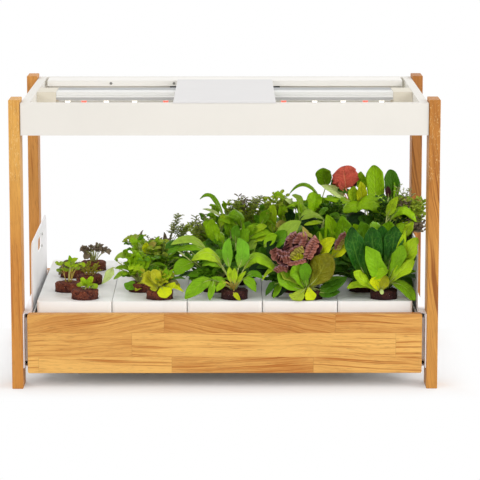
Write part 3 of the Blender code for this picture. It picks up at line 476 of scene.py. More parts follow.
def ribbed_bar():
    """The lamp bar's extrusion with painted light and shade: bright in front as lit, grey behind as shaded,
    and darker lines along its grooves and a grey band at its foot as painted shade.
    """
    finish, lines, y, z = drawn_metal("anodised_extrusion")
    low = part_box("led_bar")[0]
    # Painted light and shade: the front of the bar is painted bright as lit and the rear behind it grey as
    # shaded
    colour = finish.mix(y > low.y + BAR_SHADED_REAR, tint(250, 250, 248), tint(204, 205, 205))
    # Painted shade in the grooves: darker lines along them
    for offset in BAR_GROOVES:
        groove_shade = finish.ease(abs(y - (low.y + offset)), 0.0016, 0.0006)
        colour = finish.mix(groove_shade * 0.6, colour, tint(180, 180, 180))
    # Painted shade: a grey band along the foot of the bar's front, standing for the shade seen under the bar
    foot = (z < low.z + BAR_SHADED_FOOT[1]) * (y < low.y + BAR_SHADED_FOOT[0])
    colour = finish.mix(foot, colour, tint(196, 196, 196))
    shade = finish.ease(lines, 0.3, 0.7) * 0.14
    finish.feed("Base Color", finish.mix(shade, colour, tint(150, 150, 150)))
    return finish.material


def lamp_board():
    """White solder mask with rows of lit lenses, most of them white and some of them red."""
    finish = Finish("lit_lamp_board", Emission_Strength=1.6)
    x, y, z = finish.axes(finish.place())
    lens_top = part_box("led_board")[1].z - LAMP_BOARD_THICKNESS
    lens = z < lens_top
    reach = abs(x)
    near, far = RED_LENSES
    red = (reach > near[0]) * (reach < near[1]) + (reach > far[0]) * (reach < far[1])
    glass = finish.mix(red, tint(255, 250, 235), tint(240, 84, 70))
    specks = finish.noise(finish.place(), 700.0)
    mask = finish.mix(finish.ease(specks, 0.4, 0.7) * 0.3, tint(240, 240, 236), tint(214, 214, 208))
    finish.feed("Base Color", finish.mix(lens, mask, glass))
    finish.feed("Emission Color", finish.mix(lens, (0.0, 0.0, 0.0, 1.0), glass))
    finish.feed("Roughness", 0.30 + specks * 0.2)
    finish.relief(specks, 0.00003, 0.4)
    return finish.material


def circuit_board():
    """Green solder mask with lighter traces, and dark parts standing on it."""
    finish = Finish("circuit_board_finish")
    place = finish.place()
    x, y, z = finish.axes(place)
    board_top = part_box("control_board")[0].z + CONTROL_BOARD_THICKNESS
    traces = finish.maths("FRACT", finish.cells(place, 190.0, distance="MANHATTAN") * 6.0)
    traces = finish.ease(traces, 0.75, 0.85)
    green = finish.mix(traces * 0.6, tint(16, 84, 48), tint(52, 130, 78))
    finish.feed("Base Color", finish.mix(z > board_top, green, tint(26, 26, 28)))
    finish.feed("Roughness", 0.32 + traces * 0.15)
    finish.relief(traces, 0.00004, 0.6)
    return finish.material


def soil(name, dark, mid, crumb_highlight):
    """Reddish root substrate: crumbs with painted highlights, pale specks and a band that grows darker
    towards the tray.
    """
    finish = Finish("root_plug_" + name, Specular_IOR_Level=0.25)
    place = finish.place()
    x, y, z = finish.axes(place)
    crumbs = finish.noise(place, 420.0, 4.0, 0.65)
    clods = finish.noise(place, 150.0, 3.0, 0.6)
    grit = finish.cells(place, 620.0)
    colour = finish.mix(finish.ease(clods, 0.32, 0.62), tint(*dark), tint(*mid))
    # Painted highlights: the tops of the crumbs lightened towards the highlight colour
    colour = finish.mix(finish.ease(crumbs, 0.56, 0.72) * 0.75, colour, tint(*crumb_highlight))
    colour = finish.mix(finish.ease(grit, 0.62, 0.85) * 0.8, colour, tint(38, 16, 18))
    specks = finish.ease(finish.noise(place, 760.0, 1.0), 0.70, 0.76)
    colour = finish.mix(specks * 0.5, colour, tint(214, 190, 176))
    # Darker just above the tray
    towards_tray = finish.ease(z, TRAY_TOP + 0.008, TRAY_TOP)
    finish.feed("Base Color", finish.mix(towards_tray * 0.6, colour, tint(44, 22, 28)))
    finish.feed("Roughness", 0.80 + crumbs * 0.18)
    finish.relief(clods * 0.8 + crumbs * 0.7 - grit * 0.4, 0.0011, 1.0)
    return finish.material


def leaf_finish(name, blade, base, edge, vein, gloss, crinkle=0.3, mottling=0.5, grain=95.0):
    """A leaf: paler at its foot and along its veins, with small puckers between them."""
    finish = Finish("leaf_" + name, Specular_IOR_Level=0.16)
    where = finish.node("ShaderNodeAttribute", {"attribute_name": "leaf_place"}, None, output=1)
    across, along, tone = finish.axes(where)
    reach = abs(across)
    place = finish.place()
    mottle = finish.noise(place, grain, 4.0, 0.62, 0.6)
    patch = finish.noise(place, 34.0)
    bent = finish.joined(across * 2.3 + tone * 7.0 + mottle * 1.1,
                         (along - reach * 0.16) * 8.0 + mottle * 1.6, tone * 11.0)
    cells = finish.cells(bent, 1.0, feature="DISTANCE_TO_EDGE")
    net = finish.ease(cells, 0.075, 0.0)
    rib = finish.ease(reach, 0.13, 0.0) * finish.ease(along, 1.0, 0.6)
    side = finish.maths("FRACT", (along - reach * 0.34) * 7.0 + patch)
    side = finish.ease(abs(side - 0.5), 0.12, 0.0) * finish.ease(reach, 1.0, 0.5)
    colour = finish.mix(finish.ease(along, 0.46, 0.0) * 0.8, tint(*blade), tint(*base))
    colour = finish.mix(finish.ease(reach, 0.78, 1.0) * 0.6, colour, tint(*edge))
    veins = finish.maths("MAXIMUM", rib * 0.5, side * 0.22)
    colour = finish.mix(finish.maths("MAXIMUM", veins, net * crinkle * 0.6), colour, tint(*vein))
    dark = toned(tint(*blade), 0.42)
    light = toned(tint(*blade), 1.34)
    for share, other in ((finish.ease(mottle, 0.52, 0.30) * mottling, dark),
                         (finish.ease(patch, 0.50, 0.68) * 0.45, light),
                         (finish.ease(patch, 0.46, 0.28) * 0.5, dark),
                         (finish.ease(tone, 0.5, 0.0) * 0.5, dark),
                         (finish.ease(tone, 0.5, 1.0) * 0.4, light)):
        colour = finish.mix(share, colour, other)
    finish.feed("Base Color", colour)
    finish.feed("Roughness", gloss + mottle * 0.14)
    finish.relief(mottle * 0.5 + cells * (0.5 + crinkle * 2.2) - rib * 0.7 - side * 0.6, 0.0009, 0.9)
    return finish.material


def stem_finish(name, colour, gloss):
    """A stem or stalk, with fine streaks along it."""
    finish = Finish(name)
    x, y, z = finish.axes(finish.place())
    streaks = finish.noise(finish.joined(x * 900.0, y * 900.0, z * 120.0))
    plain = tint(*colour)
    finish.feed("Base Color", finish.mix(finish.ease(streaks, 0.35, 0.75) * 0.6, plain, toned(plain, 0.6)))
    finish.feed("Roughness", gloss + streaks * 0.12)
    finish.relief(streaks, 0.0002, 0.5)
    return finish.material


def dress(material, *nodes):
    """Gives carried-over pieces their finish."""
    for node in nodes:
        for slot in NODES[node].material_slots:
            slot.material = material


def add_piece(name, points, faces, materials, finishes=None, places=None, body="base",
              smooth=True):
    """A new piece of the garden from its points and faces, in the frame's place, riding on a body."""
    mesh = bpy.data.meshes.new(name)
    mesh.from_pydata([tuple(point) for point in points], [], faces)
    for material in materials:
        mesh.materials.append(material)
    if finishes is not None:
        mesh.polygons.foreach_set("material_index", finishes)
    if places is not None:
        layer = mesh.attributes.new("leaf_place", "FLOAT_VECTOR", "POINT")
        layer.data.foreach_set("vector", np.asarray(places, np.float32).ravel())
    bm = bmesh.new()
    bm.from_mesh(mesh)
    bmesh.ops.recalc_face_normals(bm, faces=bm.faces)
    bm.to_mesh(mesh)
    bm.free()
    if smooth:
        mesh.shade_smooth()
    mesh.update()
    obj = bpy.data.objects.new(name, mesh)
    bpy.context.scene.collection.objects.link(obj)
    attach(obj, body)
    return obj


def ring_faces(rings, sides, first=0):
    """Faces between rings of points."""
    faces = []
    for ring in range(rings - 1):
        here = first + ring * sides
        beyond = here + sides
        for side in range(sides):
            after = (side + 1) % sides
            faces.append((here + side, here + after, beyond + after, beyond + side))
    return faces


def tube_faces(rings, sides):
    """Faces between rings of points, closed by a face at both ends."""
    last = (rings - 1) * sides
    return ring_faces(rings, sides) + [tuple(range(sides)), tuple(range(last, last + sides))]


def shell_faces(rows, columns):
    """Faces of a closed skin: a grid of points, the same grid again as its back, and the rim between them."""
    width = columns + 1
    back = (rows + 1) * width
    faces = []
    for row in range(rows):
        for column in range(columns):
            here = row * width + column
            beyond = here + width
            faces.append((here, beyond, beyond + 1, here + 1))
            faces.append((back + here, back + here + 1, back + beyond + 1, back + beyond))
    rim = list(range(width))
    rim += [row * width + columns for row in range(1, rows + 1)]
    rim += [rows * width + column for column in range(columns - 1, -1, -1)]
    rim += [row * width for row in range(rows - 1, 0, -1)]
    for here, after in zip(rim, rim[1:] + rim[:1]):
        faces.append((here, after, back + after, back + here))
    return faces


def unit(vectors):
    """The same directions, all of length one."""
    return vectors / (np.linalg.norm(vectors, axis=-1, keepdims=True) + 1e-9)


def heading(angle, squash=1.0):
    """A level direction; squash makes a circle of them narrower in depth."""
    return np.array((math.cos(angle), math.sin(angle) * squash, 0.0))


def screw(name, place, out, radius, material):
    """A screw with a round head and a recess, its head standing out along one axis."""
    across = np.cross(out, UP)
    points = []
    for width, rise in SCREW_PROFILE:
        for side in range(SCREW_SIDES):
            angle = TURN * side / SCREW_SIDES
            spoke = across * math.cos(angle) + UP * math.sin(angle)
            points.append(place + radius * (rise * out + width * spoke))
    faces = tube_faces(len(SCREW_PROFILE), SCREW_SIDES)
    return add_piece(name, points, faces, [material], smooth=False)


class Foliage:
    """Gathers the skins of one plant, with each face's finish and each point's place on its leaf."""

    def __init__(self, look, finishes):
        self.look = look
        self.finishes = finishes
        self.points, self.places, self.faces, self.indices = [], [], [], []
        self.count = 0

    def add(self, points, places, faces, finish):
        """Adds one closed skin."""
        start = self.count
        self.points.append(points)
        self.places.append(places)
        self.faces += [tuple(start + corner for corner in face) for face in faces]
        self.indices += [self.finishes.index(finish)] * len(faces)
        self.count += len(points)

    def stalk(self, root, control, tip, shares, thick, thin, stem, sides=5):
        """A round stalk along a curve, closed at both ends, that gets thinner on its way."""
        path = self.kept_clear(self.curve(root, control, tip, shares))
        tangents = unit(np.gradient(path, axis=0))
        guide = np.array((0.31, 0.95, 0.05)) if abs(tangents[0][2]) > 0.7 else UP
        points = []
        for point, tangent, radius in zip(path, tangents, np.linspace(thick, thin, len(path))):
            side = unit(np.cross(tangent, guide))
            up = np.cross(side, tangent)
            for step in range(sides):
                angle = TURN * step / sides
                points.append(point + radius * (side * math.cos(angle) + up * math.sin(angle)))
        places = np.zeros((len(points), 3))
        places[:, 1] = 0.1
        places[:, 2] = 0.5
        self.add(np.array(points), places, tube_faces(len(path), sides), stem)

    def held_leaf(self, root, base, via, tip, width, finish, outline, bow=4.0, rib=0.0008, stem="stem_pale",
                  rows=13, columns=8, **settings):
        """A leaf whose blade begins at a given point, held there by a stalk that bows up from its root."""
        control = (root + base) / 2 + UP * bow / MILLIMETRES
        control[:2] = root[:2] + (base[:2] - root[:2]) * 0.38
        self.stalk(root, control, base, np.linspace(0, 1, 8), rib * 1.15, rib, stem)
        width *= self.look.leaf_fullness
        self.leaf(base, via, tip, width, finish, outline, petiole=0.0, rib=rib * 0.8, stem=stem, rows=rows,
                  columns=columns, **settings)

    def leaf(self, root, via, tip, width, finish, outline="oval", facing=(0.0, -0.72, 0.69), petiole=0.25,
             cup=0.5, ripple=(0.0, 4.0), jag=(0.0, 5.0), rib=0.0007, stem="stem_pale", tone=0.5, twist=0.0,
             rows=9, columns=6, pucker=0.0, uneven=1.0):
        """One leaf on its stalk: a closed blade that bends from its root, past a point, to its tip."""
        root, via, tip = (np.asarray(point, float) for point in (root, via, tip))
        control = 2 * via - (root + tip) / 2
        along = np.sin(np.linspace(0, math.pi / 2, rows + 1))
        shares = petiole + (1 - petiole) * along
        curve = self.curve(root, control, tip, shares)
        tangents = unit(2 * (1 - shares)[:, None] * (control - root) + 2 * shares[:, None] * (tip - control))
        sides = unit(np.cross(tangents, np.asarray(facing, float)))
        normals = np.cross(sides, tangents)
        spread = self.outline_spread(outline, along, jag)
        half = width / 2
        phase = tone * 6.0
        wild = self.look.leaf_unevenness * uneven if width > 0.008 else 0.0
        top = []
        places = []
        for row, on in enumerate(along):
            turn = twist * on
            side = sides[row] * math.cos(turn) + normals[row] * math.sin(turn)
            normal = normals[row] * math.cos(turn) - sides[row] * math.sin(turn)
            sway = wild * half * 0.7 * noise.noise(Vector((on * 2.4, 9.0, tone * 31.0))) * on
            for share in np.linspace(-1, 1, columns + 1):
                ragged = noise.noise(Vector((on * 4.6, 2.0 if share > 0 else 5.0, tone * 43.0)))
                reach = half * spread[row] * (1 + wild * ragged)
                bend = cup * share
                out = reach * (math.sin(bend) / cup if abs(cup) > 0.01 else share)
                lift = reach * ((1 - math.cos(bend)) / cup if abs(cup) > 0.01 else 0.0)
                wave = math.sin(TURN * ripple[1] * on + phase + (1.9 if share > 0 else 0.0))
                lift += width * ripple[0] * abs(share) ** 2.2 * wave
                out += width * ripple[0] * 0.4 * share * math.cos(TURN * ripple[1] * on * 1.3)
                lift += pucker * math.sin(on * 31 + phase) * math.sin(share * 9 + phase)
                swell = noise.noise(Vector((share * 1.3, on * 3.6, tone * 57.0)))
                lift += wild * half * spread[row] * swell * (0.35 + abs(share))
                top.append(curve[row] + side * (out + sway) + normal * lift)
                places.append((share, on, tone))
        top = self.kept_clear(np.array(top))
        skin = np.repeat(normals, columns + 1, axis=0) * self.look.leaf_thickness
        self.add(np.concatenate((top, top - skin)), np.array(places * 2), shell_faces(rows, columns), finish)
        if rib > 0:
            count = rows if petiole > 0.05 else 5
            reach = petiole + (1 - petiole) * 0.34
            self.stalk(root, control, tip, np.linspace(0, reach, count), rib, rib * 0.35, stem)

    def needle(self, root, via, tip, width, finish, tone):
        """A narrow leaflet without a stalk of its own."""
        self.leaf(root, via, tip, width, finish, "needle", (0.0, -0.5, 0.85), 0.0, 0.3, rib=0.0, tone=tone,
                  rows=3, columns=2)

    @staticmethod
    def outline_spread(outline, along, jag):
        """How wide a blade is at each share of its length, rounded at its tip and toothed at its edge."""
        table = OUTLINE_SHARES[outline]
        spread = np.interp(along, np.linspace(0, 1, len(table)), table)
        spread = spread * np.sqrt(np.clip(1 - np.clip((along - 0.76) / 0.24, 0, 1) ** 2, 0.002, 1))
        return spread * (1 - jag[0] * (0.5 + 0.5 * np.cos(TURN * jag[1] * along)))

    @staticmethod
    def curve(root, control, tip, shares):
        """Points along a curve that leaves its root towards the control point and ends at its tip."""
        shares = shares[:, None]
        return (1 - shares) ** 2 * root + 2 * shares * (1 - shares) * control + shares ** 2 * tip

    @staticmethod
    def kept_clear(points):
        """Keeps leaves above the trays and inside the garden."""
        points[:, 2] = np.maximum(points[:, 2], TRAY_TOP + LEAF_CLEARANCE)
        reach = np.where(points[:, 2] < PLATE_TOP, PLATE_LIMIT, SIDE_LIMIT)
        points[:, 0] = np.clip(points[:, 0], -reach, reach)
        points[:, 1] = np.clip(points[:, 1], -DEPTH_LIMIT, DEPTH_LIMIT)
        return points


def photo_point(px, py, depth):
    """The point of the photograph that lies at a given depth, as Y, in the garden."""
    stage = bpy.context.scene.garden_stage
    focal = stage.lens / SENSOR * PHOTO_SIZE
    ray = Vector(((px - PHOTO_SIZE / 2) / focal, (PHOTO_SIZE / 2 - py) / focal, -1.0))
    ray.rotate(Euler(stage.turn))
    eye = Vector(stage.eye)
    return np.array(eye + ray * ((depth - eye.y) / ray.y))


def photo_points(centre, pixels):
    """Points given as pixels of the photograph, each with its depth from a plug in millimetres."""
    return [photo_point(px, py, centre[1] + depth / MILLIMETRES) for px, py, depth in pixels]


def plug_centre(tray, row):
    """The middle of a plug's top."""
    tray_low, tray_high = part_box(f"tray_{tray}")
    stagger = (tray_high.x - tray_low.x) * SOCKET_STAGGER
    x = (tray_low.x + tray_high.x) / 2 + (stagger if row % 2 else -stagger)
    return np.array((x, tray_low.y + FIRST_SOCKET + (row - 1) * SOCKET_PITCH, PLUG_CROWN))


def soil_profile(foot):
    """A root plug from its foot to the middle of its top, as radius and height."""
    profile = [(0.0, foot), (0.0130, foot), (0.0178, foot + 0.0006), (0.0190, foot + 0.0030)]
    for step in range(1, PLUG_STEPS + 1):
        share = step / PLUG_STEPS
        profile.append((0.0190 + 0.0008 * share, foot + 0.003 + (PLUG_TOP - foot - 0.0045) * share))
    crumbled = ((0.0192, -0.0004), (0.0180, 0.0004), (0.0160, 0.0003), (0.0130, -0.0002), (0.0095, -0.0001),
                (0.0060, 0.0004), (0.0028, 0.0008), (0.0, 0.0009))
    return profile + [(radius, PLUG_TOP + rise) for radius, rise in crumbled]


def soil_skin(plant, centre, tray, row):
    """A root plug: a slightly tapered drum with a crumbled rim and top."""
    seed = 10 * tray + row
    profile = soil_profile(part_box(f"plug_{tray}_{row}")[0].z)
    points = []
    for radius, z in profile:
        if radius == 0.0:
            points.append((centre[0], centre[1], z))
            continue
        for side in range(PLUG_SIDES):
            angle = TURN * side / PLUG_SIDES
            spot = Vector((math.cos(angle) * radius, math.sin(angle) * radius, z)) * 190
            spot += Vector((seed * 3.7, seed * 1.3, 0))
            rough = noise.noise(spot) * 0.9 + noise.noise(spot * 2.6) * 0.7
            swell = 0.25 if z > TRAY_TOP + 0.001 else 0.0
            worn = radius + CRUMB_DEPTH * max(-1.2, min(swell, rough - 0.35))
            rise = CRUMB_RISE * rough if z > PLUG_TOP - 0.003 else 0.0
            points.append((centre[0] + math.cos(angle) * worn, centre[1] + math.sin(angle) * worn, z + rise))
    rings = len(profile) - 2
    faces = ring_faces(rings, PLUG_SIDES, first=1)
    last = len(points) - 1
    top_ring = last - PLUG_SIDES
    for side in range(PLUG_SIDES):
        after = (side + 1) % PLUG_SIDES
        faces.append((0, 1 + after, 1 + side))
        faces.append((top_ring + side, top_ring + after, last))
    finish = "soil_warm" if tray in WARM_TRAYS else "soil_dark"
    plant.add(np.array(points), np.zeros((len(points), 3)), faces, finish)


def root_near(centre, away):
    """Where a stalk starts, a little below the top of its plug."""
    root = centre + away
    root[2] = centre[2] - ROOT_DEPTH
    return root


def whorl(plant, centre, rng, finish, count, length, width, rise, outline="oval", droop=0.35, petiole=0.3,
          sector=(0, 360), squash=0.62, stem="stem_pale", rib=0.0008, rows=9, **settings):
    """Leaves round a plug, the outer ones low and long and the inner ones upright."""
    for index in range(count):
        inner = index / (count - 1)
        turn = sector[0] + (index * GOLDEN_TURN + rng.uniform(-14, 14)) % (sector[1] - sector[0])
        steep = math.radians(rise[0] + (rise[1] - rise[0]) * inner + rng.uniform(-7, 7))
        reach = (length[1] + (length[0] - length[1]) * inner) * rng.uniform(0.88, 1.12)
        out = heading(math.radians(turn), squash)
        root = root_near(centre, out * 0.004 * rng.uniform(0.4, 1.0))
        via = root + reach * 0.55 * (out * math.cos(steep) + UP * math.sin(steep))
        tip = root + reach * (out * math.cos(steep - droop) + UP * math.sin(steep - droop))
        facing = (-out[0] * 0.55, -out[1] * 0.55 - 0.25, 0.85)
        plant.leaf(root, via, tip, width * rng.uniform(0.85, 1.15), finish, outline, facing, petiole, rib=rib,
                   stem=stem, tone=rng.uniform(0.1, 0.9), twist=rng.uniform(-0.4, 0.4), rows=rows, **settings)


def sprigs(plant, centre, rng, finish, count, height, spread, leaf, width, pairs, stem, squash=0.7):
    """Upright stems set with small leaves, as on thyme, rosemary or seedlings."""
    for index in range(count):
        turn = index * GOLDEN_STEP + rng.uniform(-0.5, 0.5)
        out = heading(turn, squash)
        tall = rng.uniform(*height)
        away = spread * math.sqrt((index + 0.6) / count) * rng.uniform(0.8, 1.15)
        root = root_near(centre, out * 0.005)
        tip = root + out * away + UP * tall
        control = root + out * away * 0.3 + UP * tall * 0.62
        plant.stalk(root, control, tip, np.linspace(0, 1, 8), 0.0005, 0.00025, stem, 4)
        for pair in range(pairs):
            share = 0.25 + 0.75 * (pair + rng.uniform(0, 0.6)) / pairs
            spot = plant.curve(root, control, tip, np.array([share]))[0]
            for side in (0, 1):
                flat = heading(turn + pair * 1.7 + side * math.pi + rng.uniform(-0.4, 0.4))
                size = leaf * rng.uniform(0.7, 1.2) * (1.15 - 0.4 * share)
                end = spot + size * (flat * 0.85 + UP * 0.35)
                middle = spot + size * 0.5 * (flat * 0.8 + UP * 0.75)
                plant.needle(spot, middle, end, width * rng.uniform(0.8, 1.2), finish, rng.uniform(0.1, 0.9))


def fronds(plant, centre, rng, finish, count, height, spread, leaf, width, leaflets, stem="stem_gold",
           outline="round", jag=(0.25, 2.0)):
    """Bare stalks with a hand of leaflets at the top, as on parsley and on seedlings."""
    for index in range(count):
        turn = index * GOLDEN_STEP + rng.uniform(-0.6, 0.6)
        out = heading(turn, 0.7)
        tall = rng.uniform(*height)
        root = root_near(centre, out * 0.004)
        tip = root + out * spread * rng.uniform(0.4, 1.1) + UP * tall
        control = (root + tip) / 2 + UP * tall * 0.25 - out * spread * 0.15
        plant.stalk(root, control, tip, np.linspace(0, 1, 6), 0.0006, 0.00036, stem, 4)
        for number in range(leaflets):
            flat = heading(turn + (number - (leaflets - 1) / 2) * 1.1 + rng.uniform(-0.3, 0.3))
            size = leaf * rng.uniform(0.75, 1.2)
            lift = rng.uniform(-0.25, 0.45)
            middle = tip + size * 0.55 * (flat + UP * 0.35)
            end = tip + size * (flat + UP * lift)
            plant.leaf(tip, middle, end, width * rng.uniform(0.8, 1.2), finish, outline, (0.0, -0.55, 0.83),
                       0.08, 0.4, (0.05, 3.0), jag, 0.0, tone=rng.uniform(0.15, 0.9), rows=6, columns=4)


def bush(plant, centre, rng, style, finish, box, depths, count, leaf, width, stem="stem_green", start=0.72):
    """Shoots that end where the photograph shows them, with whole blades, feathery leaflets or needles."""
    left, top, right, bottom = box
    leaf, width = leaf / MILLIMETRES, width / MILLIMETRES
    for index in range(count):
        px = left + (right - left) * ((index * GOLDEN_SHARE + rng.uniform(0, 0.15)) % 1.0)
        py = rng.uniform(top, bottom)
        tip = photo_point(px, py, centre[1] + rng.uniform(*depths) / MILLIMETRES)
        root = root_near(centre, (tip - centre) * 0.1)
        tip[2] = max(tip[2], centre[2] + 0.004)
        control = root + (tip - root) * np.array((0.35, 0.35, 0.62))
        plant.stalk(root, control, tip, np.linspace(0, 1, 9), 0.0007, 0.0003, stem, 4)
        turn = rng.uniform(0, 6.28)
        if style == "blade":
            reach = unit(tip - control) * leaf
            sag = leaf * np.array((0.0, -0.3, rng.uniform(-0.6, 0.1)))
            end = tip + reach + sag
            plant.leaf(tip, tip + reach * 0.6, end, width * rng.uniform(0.8, 1.2), finish, "oval",
                       (rng.uniform(-0.4, 0.4), -0.7, 0.6), 0.0, 0.4, (0.03, 3.0), rib=0.0006, stem=stem,
                       tone=rng.uniform(0.1, 0.9), twist=rng.uniform(-0.5, 0.5), rows=8, columns=4)
            continue
        pairs = LEAFLET_PAIRS[style]
        for pair in range(pairs):
            share = start + (1 - start) * (pair + rng.uniform(0.2, 1.0)) / pairs
            spot = plant.curve(root, control, tip, np.array([share]))[0]
            for side in (0, 1):
                flat = heading(turn + pair * 2.1 + side * math.pi + rng.uniform(-0.5, 0.5))
                size = leaf * rng.uniform(0.65, 1.15)
                lift = rng.uniform(-0.15, 0.75)
                middle = spot + size * 0.5 * (flat + UP * (lift + 0.2))
                end = spot + size * (flat * 0.9 + UP * lift)
                if style == "needle":
                    plant.needle(spot, middle, end, width, finish, rng.uniform(0.1, 0.9))
                else:
                    plant.leaf(spot, middle, end, width * rng.uniform(0.7, 1.2), finish, "round",
                               (rng.uniform(-0.3, 0.3), -0.6, 0.75), 0.05, 0.5, (0.06, 3.0), (0.35, 2.5), 0.0,
                               tone=rng.uniform(0.1, 0.9), twist=rng.uniform(-0.5, 0.5), rows=6, columns=4)


def frill(plant, centre, finish, width, curls, path, tone):
    """A leaf edge gathered into curls: a ribbon along a path, folded to and fro in depth."""
    points = np.array(photo_points(centre, path))
    steps, columns = curls * CURL_STEPS, CURL_COLUMNS
    shares = np.linspace(0, 1, steps + 1)
    knots = np.linspace(0, 1, len(points))
    line = np.stack([np.interp(shares, knots, points[:, axis]) for axis in range(3)], axis=1)
    tangents = unit(np.gradient(line, axis=0))
    out = unit(np.cross(tangents, TO_FRONT))
    if out[:, 2].mean() < 0:
        out = -out
    half = width / 2 / MILLIMETRES
    skin, places = [], []
    for step, on in enumerate(shares):
        phase = TURN * curls * on
        gather = 1 + 0.16 * math.cos(phase * 0.5 + tone * 9)
        for column in range(columns + 1):
            share = column / columns
            swing = math.sin(phase + 1.1 * share) * share ** 0.8
            spot = line[step] + out[step] * half * (2 * share - 1) * gather
            spot = spot + TO_FRONT * half * 0.85 * swing
            spot = spot + tangents[step] * half * 0.55 * math.cos(phase + 2.4 * share) * share
            skin.append(spot)
            places.append((0.25 + 0.75 * share, 0.6, tone))
    skin = Foliage.kept_clear(np.array(skin))
    back = skin + np.array((0.0, 0.0005, -0.0003))
    plant.add(np.concatenate((skin, back)), np.array(places * 2), shell_faces(steps, columns), finish)


# What fills each plug's own room, tray by tray from the left and row by row from the front
GROWTH = {
    (1, 1): (
        (fronds, "lime", dict(count=2, height=(0.003, 0.006), spread=0.004, leaf=0.009, width=0.009,
         leaflets=3, stem="stem_green", jag=(0.0, 1.0))),
    ),
    (1, 2): (
        (fronds, "lime", dict(count=7, height=(0.014, 0.032), spread=0.012, leaf=0.008, width=0.007,
         leaflets=4)),
    ),
    (1, 3): (
        (sprigs, "gold", dict(count=9, height=(0.006, 0.019), spread=0.019, leaf=0.005, width=0.0022, pairs=4,
         stem="stem_gold")),
    ),
    (1, 4): (
        (whorl, "grey", dict(count=6, length=(0.018, 0.024), width=0.014, rise=(10, 50), outline="heart",
         droop=0.5, rows=7)),
    ),
    (1, 5): (
        (fronds, "dusk", dict(count=7, height=(0.012, 0.024), spread=0.016, leaf=0.009, width=0.007,
         leaflets=4, stem="stem_pale", outline="oval", jag=(0.2, 3.0))),
    ),
    (2, 1): (
        (whorl, "gold", dict(count=8, length=(0.024, 0.032), width=0.015, rise=(30, 80), outline="spoon",
         petiole=0.12, ripple=(0.05, 3.0))),
        (whorl, "mid", dict(count=7, length=(0.026, 0.038), width=0.009, rise=(45, 85), outline="lance",
         petiole=0.2)),
    ),
    (2, 2): (
        (whorl, "bright", dict(count=12, length=(0.032, 0.050), width=0.015, rise=(25, 80), outline="heart",
         petiole=0.45, squash=0.5)),
        (fronds, "mid", dict(count=8, height=(0.020, 0.040), spread=0.020, leaf=0.010, width=0.007,
         leaflets=4, stem="stem_green", jag=(0.3, 3.0))),
    ),
    (2, 3): (
        (whorl, "bright", dict(count=10, length=(0.036, 0.056), width=0.014, rise=(35, 85), petiole=0.42,
         jag=(0.2, 4.0), squash=0.5)),
        (fronds, "moss", dict(count=12, height=(0.028, 0.050), spread=0.024, leaf=0.010, width=0.007,
         leaflets=4, stem="stem_green")),
    ),
    (2, 4): (
        (fronds, "moss", dict(count=12, height=(0.020, 0.048), spread=0.026, leaf=0.011, width=0.005,
         leaflets=5, stem="stem_green", jag=(0.4, 3.0))),
        (fronds, "mid", dict(count=10, height=(0.018, 0.040), spread=0.024, leaf=0.012, width=0.006,
         leaflets=5, stem="stem_green", jag=(0.4, 3.0))),
    ),
    (2, 5): (
        (sprigs, "herb", dict(count=5, height=(0.030, 0.046), spread=0.022, leaf=0.008, width=0.0018, pairs=9,
         stem="stem_dark", squash=0.5)),
    ),
    (3, 1): (
        (whorl, "grass", dict(count=6, length=(0.034, 0.044), width=0.014, rise=(15, 60), petiole=0.40,
         stem="stem_gold", rib=0.0011, sector=(10, 170))),
    ),
    (3, 2): (
        (whorl, "deep", dict(count=15, length=(0.040, 0.060), width=0.018, rise=(15, 80))),
        (fronds, "mid", dict(count=12, height=(0.018, 0.040), spread=0.030, leaf=0.012, width=0.008,
         leaflets=5, stem="stem_pale", jag=(0.3, 3.0))),
    ),
    (3, 3): (
        (whorl, "deep", dict(count=12, length=(0.045, 0.066), width=0.022, rise=(20, 80), petiole=0.25)),
        (whorl, "mid", dict(count=10, length=(0.055, 0.074), width=0.022, rise=(35, 85), outline="spoon",
         petiole=0.2, ripple=(0.04, 4.0))),
    ),
    (3, 4): (
        (whorl, "grass", dict(count=14, length=(0.060, 0.084), width=0.020, rise=(35, 85))),
    ),
    (3, 5): (
        (whorl, "mid", dict(count=12, length=(0.06, 0.085), width=0.018, rise=(45, 85))),
    ),
    (4, 1): (
        (whorl, "shade", dict(count=9, length=(0.030, 0.048), width=0.018, rise=(8, 60), sector=(0, 180))),
    ),
    (4, 2): (
        (whorl, "shade", dict(count=14, length=(0.045, 0.072), width=0.022, rise=(12, 80))),
        (whorl, "deep", dict(count=8, length=(0.040, 0.060), width=0.016, rise=(20, 70))),
    ),
    (4, 3): (
        (whorl, "deep", dict(count=14, length=(0.060, 0.092), width=0.026, rise=(20, 85))),
    ),
    (4, 4): (
        (whorl, "grass", dict(count=14, length=(0.075, 0.104), width=0.024, rise=(35, 85))),
    ),
    (4, 5): (
        (whorl, "mid", dict(count=14, length=(0.080, 0.108), width=0.024, rise=(40, 85), petiole=0.35)),
    ),
    (5, 1): (
        (whorl, "romaine", dict(count=7, length=(0.050, 0.066), width=0.022, rise=(30, 85), outline="spoon",
         petiole=0.0, sector=(20, 160), pucker=0.0008, rib=0.0016)),
    ),
    (5, 2): (
        (whorl, "deep", dict(count=15, length=(0.055, 0.085), width=0.026, rise=(15, 85), outline="spoon",
         petiole=0.1, pucker=0.0006)),
    ),
    (5, 3): (
        (whorl, "mid", dict(count=15, length=(0.080, 0.104), width=0.026, rise=(30, 85), outline="spoon",
         petiole=0.1)),
    ),
    (5, 4): (
        (whorl, "deep", dict(count=12, length=(0.080, 0.110), width=0.024, rise=(45, 85))),
    ),
    (5, 5): (
        (whorl, "deep", dict(count=12, length=(0.085, 0.112), width=0.024, rise=(50, 85))),
    ),
}

